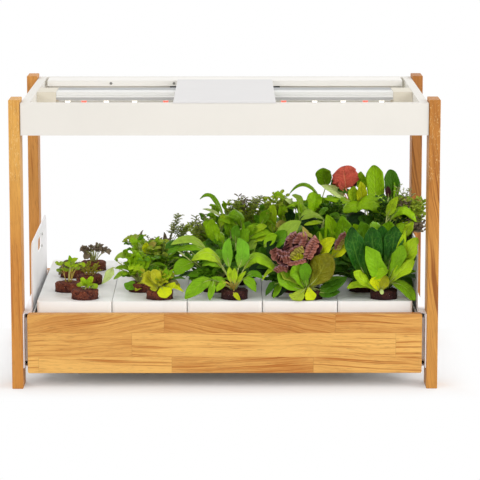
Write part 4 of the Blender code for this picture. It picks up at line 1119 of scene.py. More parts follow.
# Fine foliage by where the photograph shows it: style, finish, pixel box, depths from the plug, how many
# shoots, length and width of their leaves in millimetres, then the stem and where leaves begin on a shoot
BUSHES = {
    (1, 5): (
        ("frill", "dusk", (81, 243, 104, 253), (-8, 8), 9, 6, 4, "stem_pale"),
    ),
    (1, 3): (
        ("needle", "gold", (80, 262, 99, 271), (-10, 6), 8, 4, 2, "stem_gold"),
    ),
    (2, 1): (
        ("frill", "gold", (141, 272, 173, 286), (-14, -2), 10, 9, 6, "stem_pale"),
    ),
    (2, 2): (
        ("frill", "bright", (126, 252, 144, 276), (-14, 4), 20, 10, 8, "stem_pale"),
    ),
    (2, 3): (
        ("frill", "bright", (132, 240, 156, 262), (-10, 10), 24, 9, 6, "stem_pale"),
        ("frill", "grass", (142, 256, 168, 274), (-22, -6), 24, 9, 6, "stem_pale"),
    ),
    (2, 4): (
        ("frill", "moss", (148, 240, 172, 262), (-14, 8), 34, 8, 3.5),
        ("frill", "dusk", (150, 237, 168, 250), (-8, 8), 12, 7, 3.5, "stem_dark"),
        ("frill", "mid", (166, 250, 188, 272), (-20, 0), 22, 9, 5),
    ),
    (2, 5): (
        ("blade", "mid", (158, 246, 190, 264), (-8, 8), 11, 16, 9),
        ("needle", "herb", (173, 213, 192, 232), (-18, 10), 9, 8, 1.9, "stem_dark"),
        ("needle", "moss", (178, 220, 196, 240), (-18, 10), 5, 8, 2.4),
    ),
    (3, 2): (
        ("frill", "mid", (192, 258, 214, 280), (-18, 0), 26, 10, 6, "stem_pale"),
    ),
    (3, 3): (
        ("blade", "deep", (192, 246, 262, 272), (0, 22), 26, 18, 11),
        ("frill", "grass", (222, 262, 262, 284), (-26, -8), 20, 10, 6, "stem_pale"),
    ),
    (3, 4): (
        ("blade", "mid", (198, 226, 262, 254), (0, 24), 28, 20, 12),
        ("needle", "herb", (190, 214, 210, 236), (-10, 14), 16, 8, 2.0, "stem_dark"),
        ("needle", "moss", (188, 222, 212, 240), (-12, 10), 18, 8, 2.6),
    ),
    (3, 5): (
        ("blade", "mid", (206, 220, 268, 246), (0, 24), 26, 18, 10),
        ("blade", "bright", (208, 210, 238, 236), (-20, 6), 11, 17, 10),
        ("frill", "moss", (226, 200, 244, 222), (-16, 12), 40, 8, 5),
        ("needle", "moss", (238, 199, 268, 228), (-18, 12), 46, 8, 2.4),
        ("needle", "herb", (236, 194, 266, 214), (-12, 12), 18, 7, 2.0, "stem_dark"),
        ("frill", "dusk", (236, 193, 260, 202), (-8, 8), 9, 7, 2.2, "stem_dark"),
    ),
    (4, 2): (
        ("frill", "deep", (266, 272, 300, 286), (-20, -4), 16, 11, 6),
    ),
    (4, 3): (
        ("blade", "deep", (262, 240, 338, 268), (4, 24), 26, 20, 12),
        ("frill", "deep", (318, 262, 346, 284), (-20, -4), 18, 12, 7),
    ),
    (4, 4): (
        ("blade", "mid", (262, 214, 330, 242), (0, 24), 32, 20, 12),
        ("frill", "moss", (264, 192, 292, 206), (-10, 10), 16, 9, 6),
    ),
    (4, 5): (
        ("blade", "grass", (284, 206, 334, 226), (0, 20), 28, 18, 11),
        ("frill", "deep", (325, 200, 345, 220), (-26, -10), 44, 7, 4),
        ("frill", "mid", (325, 202, 345, 222), (-28, -14), 22, 6, 4),
    ),
    (5, 2): (
        ("needle", "romaine", (352, 232, 400, 262), (-20, -6), 10, 10, 5, "stem_pale"),
    ),
    (5, 3): (
        ("blade", "deep", (340, 238, 408, 266), (4, 24), 26, 20, 12),
        ("frill", "moss", (399, 196, 426, 218), (-14, 14), 44, 8, 5, "stem_green", 0.86),
        ("frill", "dusk", (398, 200, 412, 212), (-10, 6), 14, 8, 5, "stem_dark", 0.86),
        ("frill", "dusk", (412, 216, 426, 238), (-20, 8), 26, 7, 4, "stem_dark", 0.86),
        ("needle", "herb", (398, 184, 414, 200), (-6, 10), 7, 7, 1.6, "stem_dark", 0.7),
    ),
    (5, 4): (
        ("blade", "mid", (336, 216, 408, 244), (4, 24), 34, 20, 12),
        ("frill", "deep", (376, 196, 394, 212), (-26, -8), 20, 9, 5),
    ),
    (5, 5): (
        ("blade", "grass", (334, 200, 404, 222), (4, 24), 34, 18, 12),
    ),
}

# Leaves that the photograph shows one by one: finish, outline, width in millimetres, then where the blade
# begins, its middle and its tip as pixels of the photograph, each with its depth from the plug in
# millimetres, and what differs from other leaves
SHOWN_LEAVES = {
    (1, 1): (
        ("lime", "round", 9, (86.5, 286, -4), (83.5, 282, -6), (80.5, 279, -9)),
        ("lime", "round", 9, (87.5, 286, -4), (90, 281, -6), (93, 277, -9)),
        ("bright", "round", 8, (87, 287, -4), (87, 284, -9), (87, 280, -12)),
    ),
    (1, 2): (
        ("lime", "round", 7, (71, 266, -2), (68, 264, -4), (66, 266, -6)),
        ("lime", "heart", 8, (72, 264, -2), (75, 260, -4), (78, 259, -6)),
        ("bright", "heart", 7, (71, 263, 0), (70, 259, -2), (69, 255.5, -4)),
    ),
    (1, 4): (
        ("grey", "lance", 12, (70, 264, -4), (64, 267, -8), (58.5, 275, -12), dict(cup=-0.5)),
        ("grey", "heart", 13, (74, 266, -4), (79, 267, -8), (85, 273, -10), dict(cup=-0.5)),
        ("grey", "heart", 11, (72, 266, -2), (68, 263, -4), (63, 263, -6)),
    ),
    (1, 5): (
        ("dusk", "oval", 8, (89, 253, -2), (85, 250, -4), (81, 248, -6)),
        ("dusk", "oval", 10, (90, 252, -3), (87, 255, -6), (84, 259, -9), dict(cup=-0.4)),
        ("dusk", "oval", 9, (94, 250, -2), (97, 248, -4), (101, 250, -6), dict(cup=-0.4)),
        ("dusk", "lance", 5, (97, 249, 0), (100, 246, 0), (104, 244.5, 0)),
    ),
    (2, 1): (
        ("gold", "spoon", 21, (159, 288, -8), (151, 281, -13), (145.5, 272, -16), dict(ripple=(0.04, 3.0))),
        ("gold", "spoon", 16, (160, 287, -8), (157, 279, -14), (152, 270, -18), dict(ripple=(0.04, 3.0))),
        ("yellow", "spoon", 19, (161, 287, -12), (163.5, 291, -19), (166, 298, -22), dict(cup=0.6)),
        ("mid", "lance", 7, (160, 285, -6), (158, 275, -9), (158, 266, -12)),
        ("grass", "lance", 8, (162, 285, -6), (165, 275, -9), (166.5, 267, -12)),
        ("bright", "lance", 8, (163, 284, -6), (168, 276, -9), (173.5, 269, -12)),
        ("yellow", "lance", 8, (165, 288, -10), (172, 286, -14), (184, 292, -16)),
        ("grey", "round", 9, (168, 286, -6), (172, 283, -9), (178, 284, -11)),
        ("gold", "oval", 8, (157, 288, -12), (154, 289, -17), (150, 288, -19)),
        ("yellow", "oval", 9, (166, 289, -12), (171, 287, -17), (174.5, 282, -18)),
    ),
    (2, 2): (
        ("pale", "lance", 11, (112.5, 267.5, -6), (109, 275, -10), (101.8, 284, -14), dict(bow=9)),
        ("sage", "lance", 9, (131, 258, 0), (122, 254.5, -3), (114.3, 260, -5), dict(cup=-0.4)),
        ("sage", "lance", 4, (118, 262, -2), (116, 259.5, -3), (114.8, 259, -4), dict(bow=2)),
        ("mid", "round", 8, (129, 274, -4), (125.5, 273.5, -6), (122.8, 277, -8)),
        ("mid", "round", 13, (136, 288, -14), (131, 286, -17), (127, 290, -20)),
        ("gold", "oval", 10, (145, 283, -12), (140, 286, -16), (135.5, 291, -20)),
        ("bright", "heart", 15, (137, 272, -8), (133, 264, -11), (128.5, 257, -14)),
        ("bright", "heart", 16, (140, 270, -8), (138.5, 261, -12), (136, 251.5, -14)),
        ("lime", "oval", 13, (141, 273, -12), (134, 266.5, -15), (129.5, 270, -18), dict(cup=-0.4)),
        ("lime", "heart", 13, (143, 272, -12), (139, 267, -16), (134, 271, -19), dict(cup=-0.4)),
        ("bright", "oval", 12, (142, 268, -6), (146, 263, -9), (148, 256, -11)),
        ("grass", "lance", 4, (149, 266, -2), (158, 263.5, -4), (167, 267, -8), dict(bow=6)),
    ),
    (2, 3): (
        ("bright", "round", 13, (138.5, 249, -2), (134, 243.5, -6), (130, 242, -9)),
        ("pale", "round", 10, (141, 249, -2), (142, 245, -5), (144.5, 240.5, -6)),
        ("mid", "oval", 8, (142, 243, 0), (141, 239, -1), (142.5, 234.5, -2)),
        ("dusk", "lance", 3, (141.5, 239, 0), (141, 234, 0), (143.2, 230, 0)),
        ("yellow", "oval", 10, (146.5, 254, -6), (146, 248, -9), (146.5, 242.5, -10)),
        ("tan", "oval", 9, (147, 250, -4), (151.5, 245.5, -6), (156, 242.5, -7)),
        ("bright", "oval", 12, (140, 255, -4), (135, 250, -7), (131.5, 250.5, -9), dict(cup=-0.4)),
    ),
    (2, 4): (
        ("dusk", "lance", 6, (163, 246, 0), (165, 239, -2), (164, 232, -3)),
        ("dusk", "lance", 5, (165, 242, 0), (168, 240, -2), (172, 242, -3)),
        ("grass", "oval", 12, (170, 256, -8), (174, 252, -11), (180, 251.5, -13)),
    ),
    (3, 1): (
        ("grass", "oval", 20, (212.5, 280, -10), (199, 285, -17), (185, 299, -24), dict(cup=0.35)),
        ("grass", "lance", 10, (214, 280, -12), (211.5, 290, -18), (209.5, 301, -24), dict(cup=0.35)),
        ("bright", "oval", 9, (226, 282, -12), (221.5, 285, -15), (216.5, 291.5, -18),
         dict(stem="stem_gold")),
        ("grass", "lance", 8, (226, 283, -9), (219, 279, -12), (210.5, 278, -14), dict(stem="stem_gold")),
        ("yellow", "lance", 7, (233.5, 293, -20), (236.5, 296, -23), (240.8, 302, -25),
         dict(stem="stem_gold")),
        ("lime", "oval", 8, (231, 283, -10), (230, 275, -13), (229, 267, -14), dict(stem="stem_gold")),
        ("lime", "oval", 8, (234.5, 284, -10), (234.5, 276, -13), (235, 268, -14), dict(stem="stem_gold")),
        ("lime", "lance", 6, (237, 284, -8), (241, 277, -12), (246, 271, -13), dict(stem="stem_gold")),
        ("blue", "oval", 14, (229.5, 268, -12), (227.5, 253, -16), (229.5, 238, -19),
         dict(facing=(-0.15, -1.0, 0.1))),
        ("blue", "oval", 19, (238.5, 268, -14), (242, 254, -17), (238, 238, -20),
         dict(facing=(0.2, -1.0, 0.1))),
        ("bright", "oval", 18, (244, 269, -8), (258, 256, -13), (276, 271, -18),
         dict(cup=-0.5, facing=(0.1, -0.6, 0.8))),
        ("grass", "oval", 13, (243, 279, -10), (249, 282, -15), (256, 292, -19)),
        ("mid", "lance", 11, (246, 277, -6), (254, 274, -10), (263, 279, -14)),
        ("lime", "oval", 19, (221.5, 265, -6), (208, 252.5, -12), (191.5, 260.5, -16),
         dict(cup=-0.5, facing=(-0.1, -0.6, 0.8))),
        ("grass", "lance", 12, (222, 268, -4), (213, 262, -9), (202, 266, -13), dict(cup=-0.4)),
    ),
    (3, 2): (
        ("sage", "oval", 16, (206.5, 250, 8), (190, 238.5, 4), (170.5, 244.5, -2),
         dict(cup=-0.5, facing=(-0.1, -0.55, 0.85))),
        ("grass", "oval", 12, (206, 252, 4), (192, 246, -1), (176, 251, -6),
         dict(cup=-0.5, facing=(-0.1, -0.6, 0.8))),
        ("mid", "oval", 12, (190, 250, 4), (178, 247.5, 0), (167.5, 254, -4), dict(cup=-0.4)),
        ("deep", "oval", 13, (182, 247, 8), (173, 243, 4), (165.5, 249, 0), dict(cup=-0.4)),
        ("grass", "oval", 21, (194.5, 262, -4), (184.5, 266, -10), (174.5, 274.5, -14), dict(cup=0.3)),
        ("deep", "oval", 14, (212, 276, -6), (204, 273, -11), (196, 277, -15)),
        ("mid", "oval", 13, (222, 274, -8), (214, 271, -12), (206, 276, -16)),
        ("mid", "oval", 12, (226, 262, -4), (221, 255, -8), (215, 252, -10)),
        ("mid", "oval", 11, (200, 270, -10), (195, 274, -14), (188, 276, -17)),
        ("pale", "lance", 3, (186, 257, -4), (182, 254, -6), (178, 251, -8), dict(bow=1)),
    ),
    (3, 3): (
        ("bright", "oval", 19, (217.5, 243, -6), (213, 231, -11), (211.5, 219, -14),
         dict(facing=(-0.3, -0.8, 0.5))),
        ("bright", "spoon", 17, (222, 246, -6), (221, 238, -12), (214.5, 234, -16), dict(cup=-0.4)),
        ("mid", "oval", 18, (227, 248, -4), (220, 241, -10), (214, 243, -14), dict(cup=-0.5)),
        ("grass", "oval", 18, (240, 247, -6), (245, 236, -12), (250, 231, -16)),
        ("grass", "oval", 16, (236, 246, -4), (240, 240, -10), (249, 241.5, -15), dict(cup=-0.5)),
        ("sage", "oval", 15, (247, 257, -8), (251, 248, -13), (257, 240, -16)),
        ("blue", "oval", 12, (236, 243, -8), (235.5, 233, -12), (238, 225.5, -16),
         dict(facing=(0.1, -1.0, 0.2))),
        ("grass", "lance", 5, (243.5, 238, -6), (243.5, 230, -9), (243.5, 222.5, -11)),
        ("lime", "oval", 17, (249, 244, -6), (258, 238, -12), (267, 236, -16)),
        ("bright", "oval", 15, (245, 240, -4), (257, 233.5, -9), (271.5, 233.5, -14)),
        ("lime", "oval", 12, (250, 234, -2), (258, 229, -6), (267, 226.5, -9)),
        ("bright", "oval", 11, (247, 236, -2), (250, 230, -5), (255, 224.5, -8)),
        ("mid", "oval", 18, (226, 258, -14), (221, 254, -19), (216, 258, -23), dict(cup=-0.4)),
    ),
    (3, 4): (
        ("grass", "lance", 8, (224, 218.5, 0), (212, 197, -4), (200, 199.5, -8), dict(bow=0)),
        ("pale", "lance", 5, (222, 217, -2), (212, 211, -5), (202.5, 209, -7), dict(bow=0)),
        ("bright", "oval", 15, (238, 226, -2), (230, 218.5, -8), (219, 221, -12), dict(cup=-0.5)),
        ("grass", "oval", 18, (241.5, 228, -2), (238, 216, -10), (228, 217, -14), dict(cup=-0.5)),
        ("bright", "spoon", 18, (214, 236, -2), (210, 227, -8), (210, 220, -12)),
        ("grass", "oval", 15, (231, 236, -2), (229, 228, -8), (226, 221, -11)),
        ("lime", "oval", 9, (220, 228, -4), (222, 220, -8), (224, 214, -10)),
    ),
    (4, 1): (
        ("wine", "fan", 30, (305, 268, -2), (296, 252, -6), (288, 238, -10), RUFFLED),
        ("wine", "fan", 32, (306, 266, 0), (305, 250, -4), (305, 236, -8), RUFFLED),
        ("wine", "fan", 26, (307, 264, -4), (311, 252, -8), (314, 240, -11), RUFFLED),
        ("wine", "fan", 28, (302, 272, -8), (289, 262, -13), (277, 254, -17), RUFFLED),
        ("grass", "fan", 26, (306, 289, -9), (300, 278, -16), (295, 264.5, -21), WAVY),
        ("mid", "fan", 16, (307, 288, -10), (305, 276, -17), (304, 263, -21), WAVY),
        ("grass", "fan", 22, (304, 290, -12), (290.5, 284.5, -18), (278.5, 272, -23), WAVY),
        ("moss", "fan", 18, (305, 287, -8), (292, 278, -14), (281, 268, -18), WAVY),
        ("olive", "spoon", 36, (309, 286, -9), (321, 272, -16), (328, 253, -22),
         dict(ripple=(0.02, 3.0), rows=12, columns=8, rib=0.0014)),
        ("yellow", "oval", 20, (316.5, 258, -6), (325, 247.5, -10), (334.5, 238, -13)),
        ("yellow", "oval", 18, (331, 258, -6), (341, 250, -10), (352.5, 243.5, -14)),
        ("lime", "lance", 5, (322.5, 248, -4), (321, 240, -6), (319.5, 231.5, -7)),
        ("tan", "heart", 13, (312.5, 241, -6), (307, 236, -9), (303, 226.5, -10)),
        ("moss", "fan", 20, (305, 289, -16), (299, 295, -22), (294.5, 301.5, -26)),
        ("yellow", "spoon", 14, (308.5, 287, -16), (310, 294, -22), (311, 302, -26)),
        ("deep", "oval", 20, (319, 290, -6), (332, 286, -11), (347, 277, -16)),
        ("deep", "oval", 17, (318, 292, -10), (328, 293, -16), (340, 292, -21)),
        ("mid", "lance", 6, (320, 284, -4), (331, 279, -9), (344, 277, -13)),
        ("lime", "lance", 7, (284, 276, -8), (273, 268.5, -13), (261.5, 281, -18), dict(cup=-0.4, bow=2)),
        ("grass", "oval", 9, (281, 283, -10), (278, 289, -16), (273, 298, -21)),
        ("deep", "oval", 10, (280, 283, -12), (272, 286, -17), (266, 296, -21)),
    ),
    (4, 2): (
        ("sage", "oval", 24, (277, 244, -6), (287, 232, -12), (301, 221, -18)),
        ("mid", "oval", 20, (271, 246, -4), (279, 239, -9), (285, 230, -13)),
        ("bright", "oval", 16, (264, 247, -4), (270, 240, -9), (277, 235, -13)),
        ("deep", "oval", 18, (272, 262, -8), (265, 254, -13), (258, 250, -17)),
        ("shade", "oval", 26, (283, 266, -6), (275, 252, -12), (267, 242, -15)),
    ),
    (4, 3): (
        ("shade", "oval", 24, (323, 226, 2), (311, 221, -6), (299, 223, -13), dict(cup=-0.5)),
        ("sage", "oval", 9, (324, 220, -2), (313, 214.5, -9), (300.5, 220.5, -16), dict(cup=-0.5)),
        ("lime", "oval", 7, (324, 222.5, -6), (314, 222, -13), (304, 225, -18), dict(cup=-0.4)),
        ("bright", "heart", 25, (334, 243, -6), (331, 229, -12), (326.5, 214.5, -16)),
        ("grass", "heart", 24, (342, 240, -6), (343, 227, -12), (341, 216, -16)),
        ("mid", "oval", 18, (322, 246, -4), (324, 236, -10), (326, 227, -13)),
        ("deep", "oval", 20, (312, 240, 0), (312, 231, -8), (312, 222, -12)),
        ("grass", "spoon", 18, (346, 248, -8), (343, 240, -13), (340, 231, -16)),
    ),
    (4, 4): (
        ("lime", "oval", 16, (273.5, 233, 0), (271.5, 218, -6), (274, 204, -10),
         dict(facing=(-0.2, -0.9, 0.4))),
        ("bright", "oval", 14, (282, 224, 0), (282.5, 213, -6), (280, 203.5, -9)),
        ("tan", "round", 15, (282, 236, -4), (281, 228, -10), (280.5, 220, -13)),
        ("bright", "lance", 12, (299.5, 224, -4), (297, 205.5, -9), (286, 208, -14),
         dict(cup=-0.4, facing=(-0.6, -0.5, 0.6))),
        ("bright", "lance", 9, (285, 205, 2), (279, 193.5, -2), (272.5, 201, -6), dict(cup=-0.5)),
        ("sage", "oval", 12, (305, 218, -2), (302, 210, -8), (299, 203.5, -11)),
        ("sage", "oval", 13, (317, 217, -4), (308.5, 214, -11), (300.5, 219, -16)),
        ("sage", "oval", 9, (303, 207, 2), (299.5, 200.5, -3), (295.5, 196, -6)),
        ("pale", "oval", 8, (296, 210, 2), (291, 202.5, -3), (285, 199.5, -6)),
        ("shade", "oval", 14, (290, 226, 0), (290, 216, -4), (288, 209, -6)),
        ("grass", "oval", 14, (260, 226, 2), (265, 217, -4), (268, 210, -8)),
    ),
    (4, 5): (
        ("grass", "lance", 6.5, (320, 198, -4), (304.5, 184, -8), (289, 194.5, -12), dict(cup=-0.6, bow=0)),
        ("bright", "round", 30, (322, 214, -6), (315, 204, -14), (307, 198, -18),
         dict(ripple=(0.06, 4.0), cup=0.3)),
        ("bright", "round", 24, (308, 212, -4), (313, 204, -11), (322, 200, -15), dict(ripple=(0.06, 4.0))),
        ("sage", "oval", 9, (303, 203, 0), (299, 198, -4), (292, 195, -8)),
        ("grass", "round", 20, (326, 186, 2), (324, 177, -3), (322.5, 168, -6),
         dict(facing=(-0.1, -1.0, 0.2))),
        ("pale", "heart", 17, (344, 196, -6), (333, 190.5, -10), (321.5, 185.5, -14)),
        ("bright", "oval", 12, (352, 202, -10), (338, 199, -15), (324.5, 199, -18), dict(cup=-0.3)),
        ("deep", "oval", 13, (336, 191, 0), (335.5, 183.5, -4), (334.5, 176.5, -6)),
        ("deep", "oval", 10, (352, 194, -4), (345, 190.5, -8), (337.5, 190.5, -10)),
    ),
    (5, 1): (
        ("romaine", "spoon", 27, (372, 286, -8), (357, 258, -14), (350.5, 227, -20),
         dict(rib=0.0018, pucker=0.0010, rows=14, columns=8)),
        ("romaine", "spoon", 24, (378, 276, -2), (374, 250, -6), (372, 227, -9),
         dict(rib=0.0016, pucker=0.0010, rows=14, columns=8)),
        ("romaine", "spoon", 25, (382, 276, 2), (382, 250, -2), (382, 226, -4),
         dict(rib=0.0018, pucker=0.0010, rows=14, columns=8, facing=(0.0, -1.0, 0.3))),
        ("romaine", "spoon", 24, (386, 276, -2), (392, 250, -5), (394, 226, -8),
         dict(rib=0.0018, pucker=0.0010, rows=14, columns=8, facing=(-0.1, -1.0, 0.3))),
        ("grass", "oval", 24, (383, 284, -12), (375.5, 266, -19), (366, 246, -22),
         dict(rib=0.0012, pucker=0.0006, facing=(0.2, -1.0, 0.35))),
        ("bright", "oval", 15, (371, 279, -16), (380, 274.5, -22), (388.5, 270, -24), dict(cup=0.7)),
        ("lime", "lance", 11, (396, 264, -6), (401, 247, -10), (405, 230, -13)),
        ("grass", "spoon", 18, (387, 281, -10), (396.5, 262, -15), (403, 245, -18), dict(pucker=0.0005)),
        ("lime", "spoon", 23, (391, 279, -6), (405, 259, -11), (416, 237, -15),
         dict(rib=0.0014, pucker=0.0006, ripple=(0.03, 4.0))),
        ("deep", "spoon", 20, (392, 280, -2), (404, 264, -7), (416, 250, -11)),
        ("lime", "spoon", 19, (388, 284, -14), (400, 272.5, -19), (414.5, 261, -23)),
        ("mid", "lance", 9, (397, 277, -14), (406, 273, -18), (416, 271, -21)),
        ("yellow", "fan", 17, (380, 291.5, -12), (376, 284, -18), (374, 277, -21)),
        ("gold", "fan", 15, (382, 291, -12), (384, 284, -17), (388, 277, -20)),
        ("lime", "spoon", 18, (377, 289, -14), (364, 281, -20), (353.5, 272, -24)),
        ("lime", "spoon", 10, (376, 291, -16), (361, 284.5, -22), (347, 288.5, -26)),
        ("grass", "oval", 16, (391, 283, -12), (404.5, 287.5, -19), (414.5, 303.5, -27),
         dict(facing=(0.25, -0.85, 0.5), cup=0.25, rib=0.0010)),
        ("pale", "round", 5, (380, 290.5, -19), (381.5, 291.5, -21), (382, 294.5, -22)),
    ),
    (5, 2): (
        ("grass", "spoon", 20, (356, 252, -8), (350, 240, -14), (344, 228, -18)),
        ("bright", "oval", 18, (358, 244, -6), (357, 234, -12), (354, 224, -16)),
        ("mid", "oval", 22, (366, 246, -8), (364, 234, -14), (360, 222, -18)),
        ("deep", "oval", 20, (350, 268, -12), (343, 262, -18), (336, 264, -22)),
        ("shade", "oval", 22, (346, 262, -8), (341, 254, -14), (336, 252, -18)),
        ("lime", "oval", 12, (404, 236, -4), (408, 229, -9), (413.5, 222.5, -12)),
    ),
    (5, 3): (
        ("lime", "lance", 14, (387, 216, -6), (392, 206.5, -11), (397, 196, -14), dict(rib=0.0010)),
        ("bright", "oval", 18, (390.5, 220, -8), (403.5, 208, -15), (416, 222, -21),
         dict(cup=-0.6, facing=(0.1, -0.6, 0.8))),
        ("shade", "oval", 16, (391, 224, -2), (402, 216, -8), (411, 222, -12)),
        ("lime", "oval", 16, (402, 239, -8), (408, 229, -14), (413.5, 222, -18)),
        ("bright", "oval", 15, (392, 235, -10), (399, 228, -16), (405, 224, -19), dict(cup=-0.4)),
        ("grass", "oval", 20, (380, 236, -8), (376, 228, -15), (370, 224, -19), dict(cup=-0.4)),
        ("grass", "oval", 18, (386, 238, -8), (388, 229, -15), (389, 221, -19)),
    ),
    (5, 4): (
        ("yellow", "oval", 15, (360, 206, -6), (361.5, 193, -12), (360.5, 181.5, -15),
         dict(facing=(0.3, -0.9, 0.3))),
        ("lime", "oval", 16, (357, 206, -4), (354, 196, -10), (354.5, 186, -13)),
        ("bright", "oval", 26, (389, 218.5, -14), (374, 201.5, -20), (357.5, 210, -26),
         dict(cup=-0.4, facing=(0.0, -0.75, 0.65))),
        ("bright", "oval", 22, (366, 207, -12), (355, 204.5, -19), (343.5, 212.5, -24), dict(cup=-0.4)),
        ("shade", "oval", 24, (370, 222, -10), (359, 216.5, -16), (346, 221, -20), dict(cup=-0.4)),
        ("deep", "oval", 22, (376, 232, -12), (366, 223, -18), (358, 219, -22)),
    ),
    (5, 5): (
        ("red", "round", 36, (345, 188, -6), (345, 178, -12), (342.5, 166.5, -15),
         dict(stem="stem_red", rib=0.0018, ripple=(0.04, 4.0), jag=(0.06, 4.0), cup=0.3, bow=0, uneven=0.4,
              facing=(0.1, -1.0, 0.2), rows=12, columns=10)),
        ("red", "round", 9, (342.5, 190, -10), (341.5, 185.5, -13), (340, 181, -14), dict(stem="stem_red")),
        ("wine", "oval", 9, (352, 190, -6), (353.5, 184, -8), (354.5, 177, -9)),
        ("bright", "round", 24, (376.5, 207, -8), (375, 186, -13), (374, 165, -16),
         dict(pucker=0.0008, rib=0.0012, facing=(0.15, -1.0, 0.1), uneven=0.6)),
        ("bright", "oval", 15, (364.5, 192, -4), (361.5, 181, -8), (361, 171.5, -10),
         dict(facing=(-0.1, -1.0, 0.1))),
        ("deep", "round", 20, (391, 202, -4), (392, 185.5, -9), (389.5, 169.5, -12),
         dict(facing=(0.1, -1.0, 0.1), uneven=0.5)),
        ("wine", "oval", 8, (388.5, 198, -14), (388, 191.5, -16), (387.5, 186, -17)),
        ("grass", "lance", 8, (396, 204, -4), (396, 192, -8), (394, 182, -10)),
    ),
}

# The curled edges of the lettuce in front: finish, width in millimetres, how many curls each makes, and its
# path as pixels of the photograph with their depths in millimetres
FRILLS = {
    (4, 1): (
        ("purple", 11, 7, ((288, 250, -12), (288.5, 242, -13), (292, 237, -14), (296.5, 235, -14))),
        ("purple", 11, 7, ((296, 243, -14), (299, 237, -15), (303, 236, -15), (305, 243, -16))),
        ("purple", 9, 5, ((300, 251, -16), (302, 245, -17), (304, 241, -17))),
        ("purple", 11, 8, ((307, 257, -18), (309, 249, -18), (313, 243, -18), (317, 239, -18))),
        ("purple", 7, 6, ((309, 259, -19), (313, 252, -19), (317, 244, -19))),
        ("purple", 12, 8, ((273.5, 249, -20), (275, 256, -21), (281, 260, -22), (290, 259, -22))),
        ("purple", 9, 6, ((276, 251, -19), (282, 254, -20), (289, 255, -20))),
        ("tan", 10, 6, ((292, 258, -21), (297, 252, -20), (303, 249, -19))),
        ("purple", 9, 6, ((291, 252, -17), (296, 249, -17), (301, 249, -17))),
        ("gold", 8, 4, ((294, 260, -22), (298, 256, -21), (303, 257, -20))),
        ("purple", 6, 7, ((287.5, 264, -24), (296, 263, -24), (306, 260.5, -23))),
        ("purple", 9, 5, ((275.5, 271, -24), (280, 268, -25), (287.5, 269, -25))),
        ("purple", 8, 5, ((336.5, 249, -10), (338, 242, -11), (342, 236.5, -11), (346, 234, -11))),
        ("tan", 6, 4, ((338, 250, -12), (341, 244, -12), (345, 240, -12))),
    ),
}


def grown(look, finishes, tray, row):
    """One plant in its root plug."""
    rng = random.Random(100 * tray + row)
    centre = plug_centre(tray, row)
    plant = Foliage(look, finishes)
    soil_skin(plant, centre, tray, row)
    for habit, finish, settings in GROWTH[tray, row]:
        habit(plant, centre, rng, finish, **settings)
    for shoots in BUSHES.get((tray, row), ()):
        bush(plant, centre, rng, *shoots)
    for finish, outline, width, *pixels in SHOWN_LEAVES.get((tray, row), ()):
        settings = pixels.pop() if isinstance(pixels[-1], dict) else {}
        base, via, tip = photo_points(centre, pixels)
        root = root_near(centre, (base - centre) * 0.12)
        plant.held_leaf(root, base, via, tip, width / MILLIMETRES, finish, outline,
                        tone=rng.uniform(0.35, 0.85), **settings)
    for finish, width, curls, path in FRILLS.get((tray, row), ()):
        frill(plant, centre, finish, width, curls, path, rng.uniform(0.3, 0.9))
    return plant


class GardenLook(bpy.types.PropertyGroup):
    """Sizes and colours of the garden's finishes."""

    leaf_thickness: FloatProperty(
        name="Leaf thickness", description="Thickness of a leaf blade", default=0.0005, min=0.0001,
        max=0.003, unit="LENGTH")
    leaf_fullness: FloatProperty(
        name="Leaf fullness", description="Width of the large leaves, as a share", default=1.2, min=0.5,
        max=2.0, subtype="FACTOR")
    leaf_unevenness: FloatProperty(
        name="Leaf unevenness", description="How far a leaf's edge and face stray, as a share", default=0.27,
        min=0.0, max=1.0, subtype="FACTOR")
    coat_white: FloatVectorProperty(
        name="White coat", description="Powder coat of the side frames", default=tint(254, 253, 255), min=0,
        max=1, size=4, subtype="COLOR")
    coat_cover: FloatVectorProperty(
        name="Cover coat", description="Powder coat of the control cover", default=tint(224, 222, 221),
        min=0, max=1, size=4, subtype="COLOR")
    # Painted shade: the brackets get a darker copy of the warm white coat
    coat_bracket_shaded: FloatVectorProperty(
        name="Bracket coat", description="Powder coat of the lamp bar's brackets",
        default=tint(224, 216, 198), min=0, max=1, size=4, subtype="COLOR")
    # Painted light: the rear cover gets a lighter copy of the warm white coat, to brighten its shaded lip
    coat_rear_lit: FloatVectorProperty(
        name="Rear cover coat", description="Powder coat of the rear cover", default=tint(243, 240, 234),
        min=0, max=1, size=4, subtype="COLOR")
    coat_cream: FloatVectorProperty(
        name="Warm white coat", description="Powder coat of the lamp frame", default=tint(231, 227, 219),
        min=0, max=1, size=4, subtype="COLOR")
    plastic_white: FloatVectorProperty(
        name="White plastic", description="Tank and growing trays", default=tint(250, 251, 249), min=0,
        max=1, size=4, subtype="COLOR")
    oak_light: FloatVectorProperty(
        name="Light oak", description="Early wood", default=tint(240, 187, 102), min=0, max=1, size=4,
        subtype="COLOR")
    oak_dark: FloatVectorProperty(
        name="Dark oak", description="Late wood", default=tint(184, 112, 44), min=0, max=1, size=4,
        subtype="COLOR")


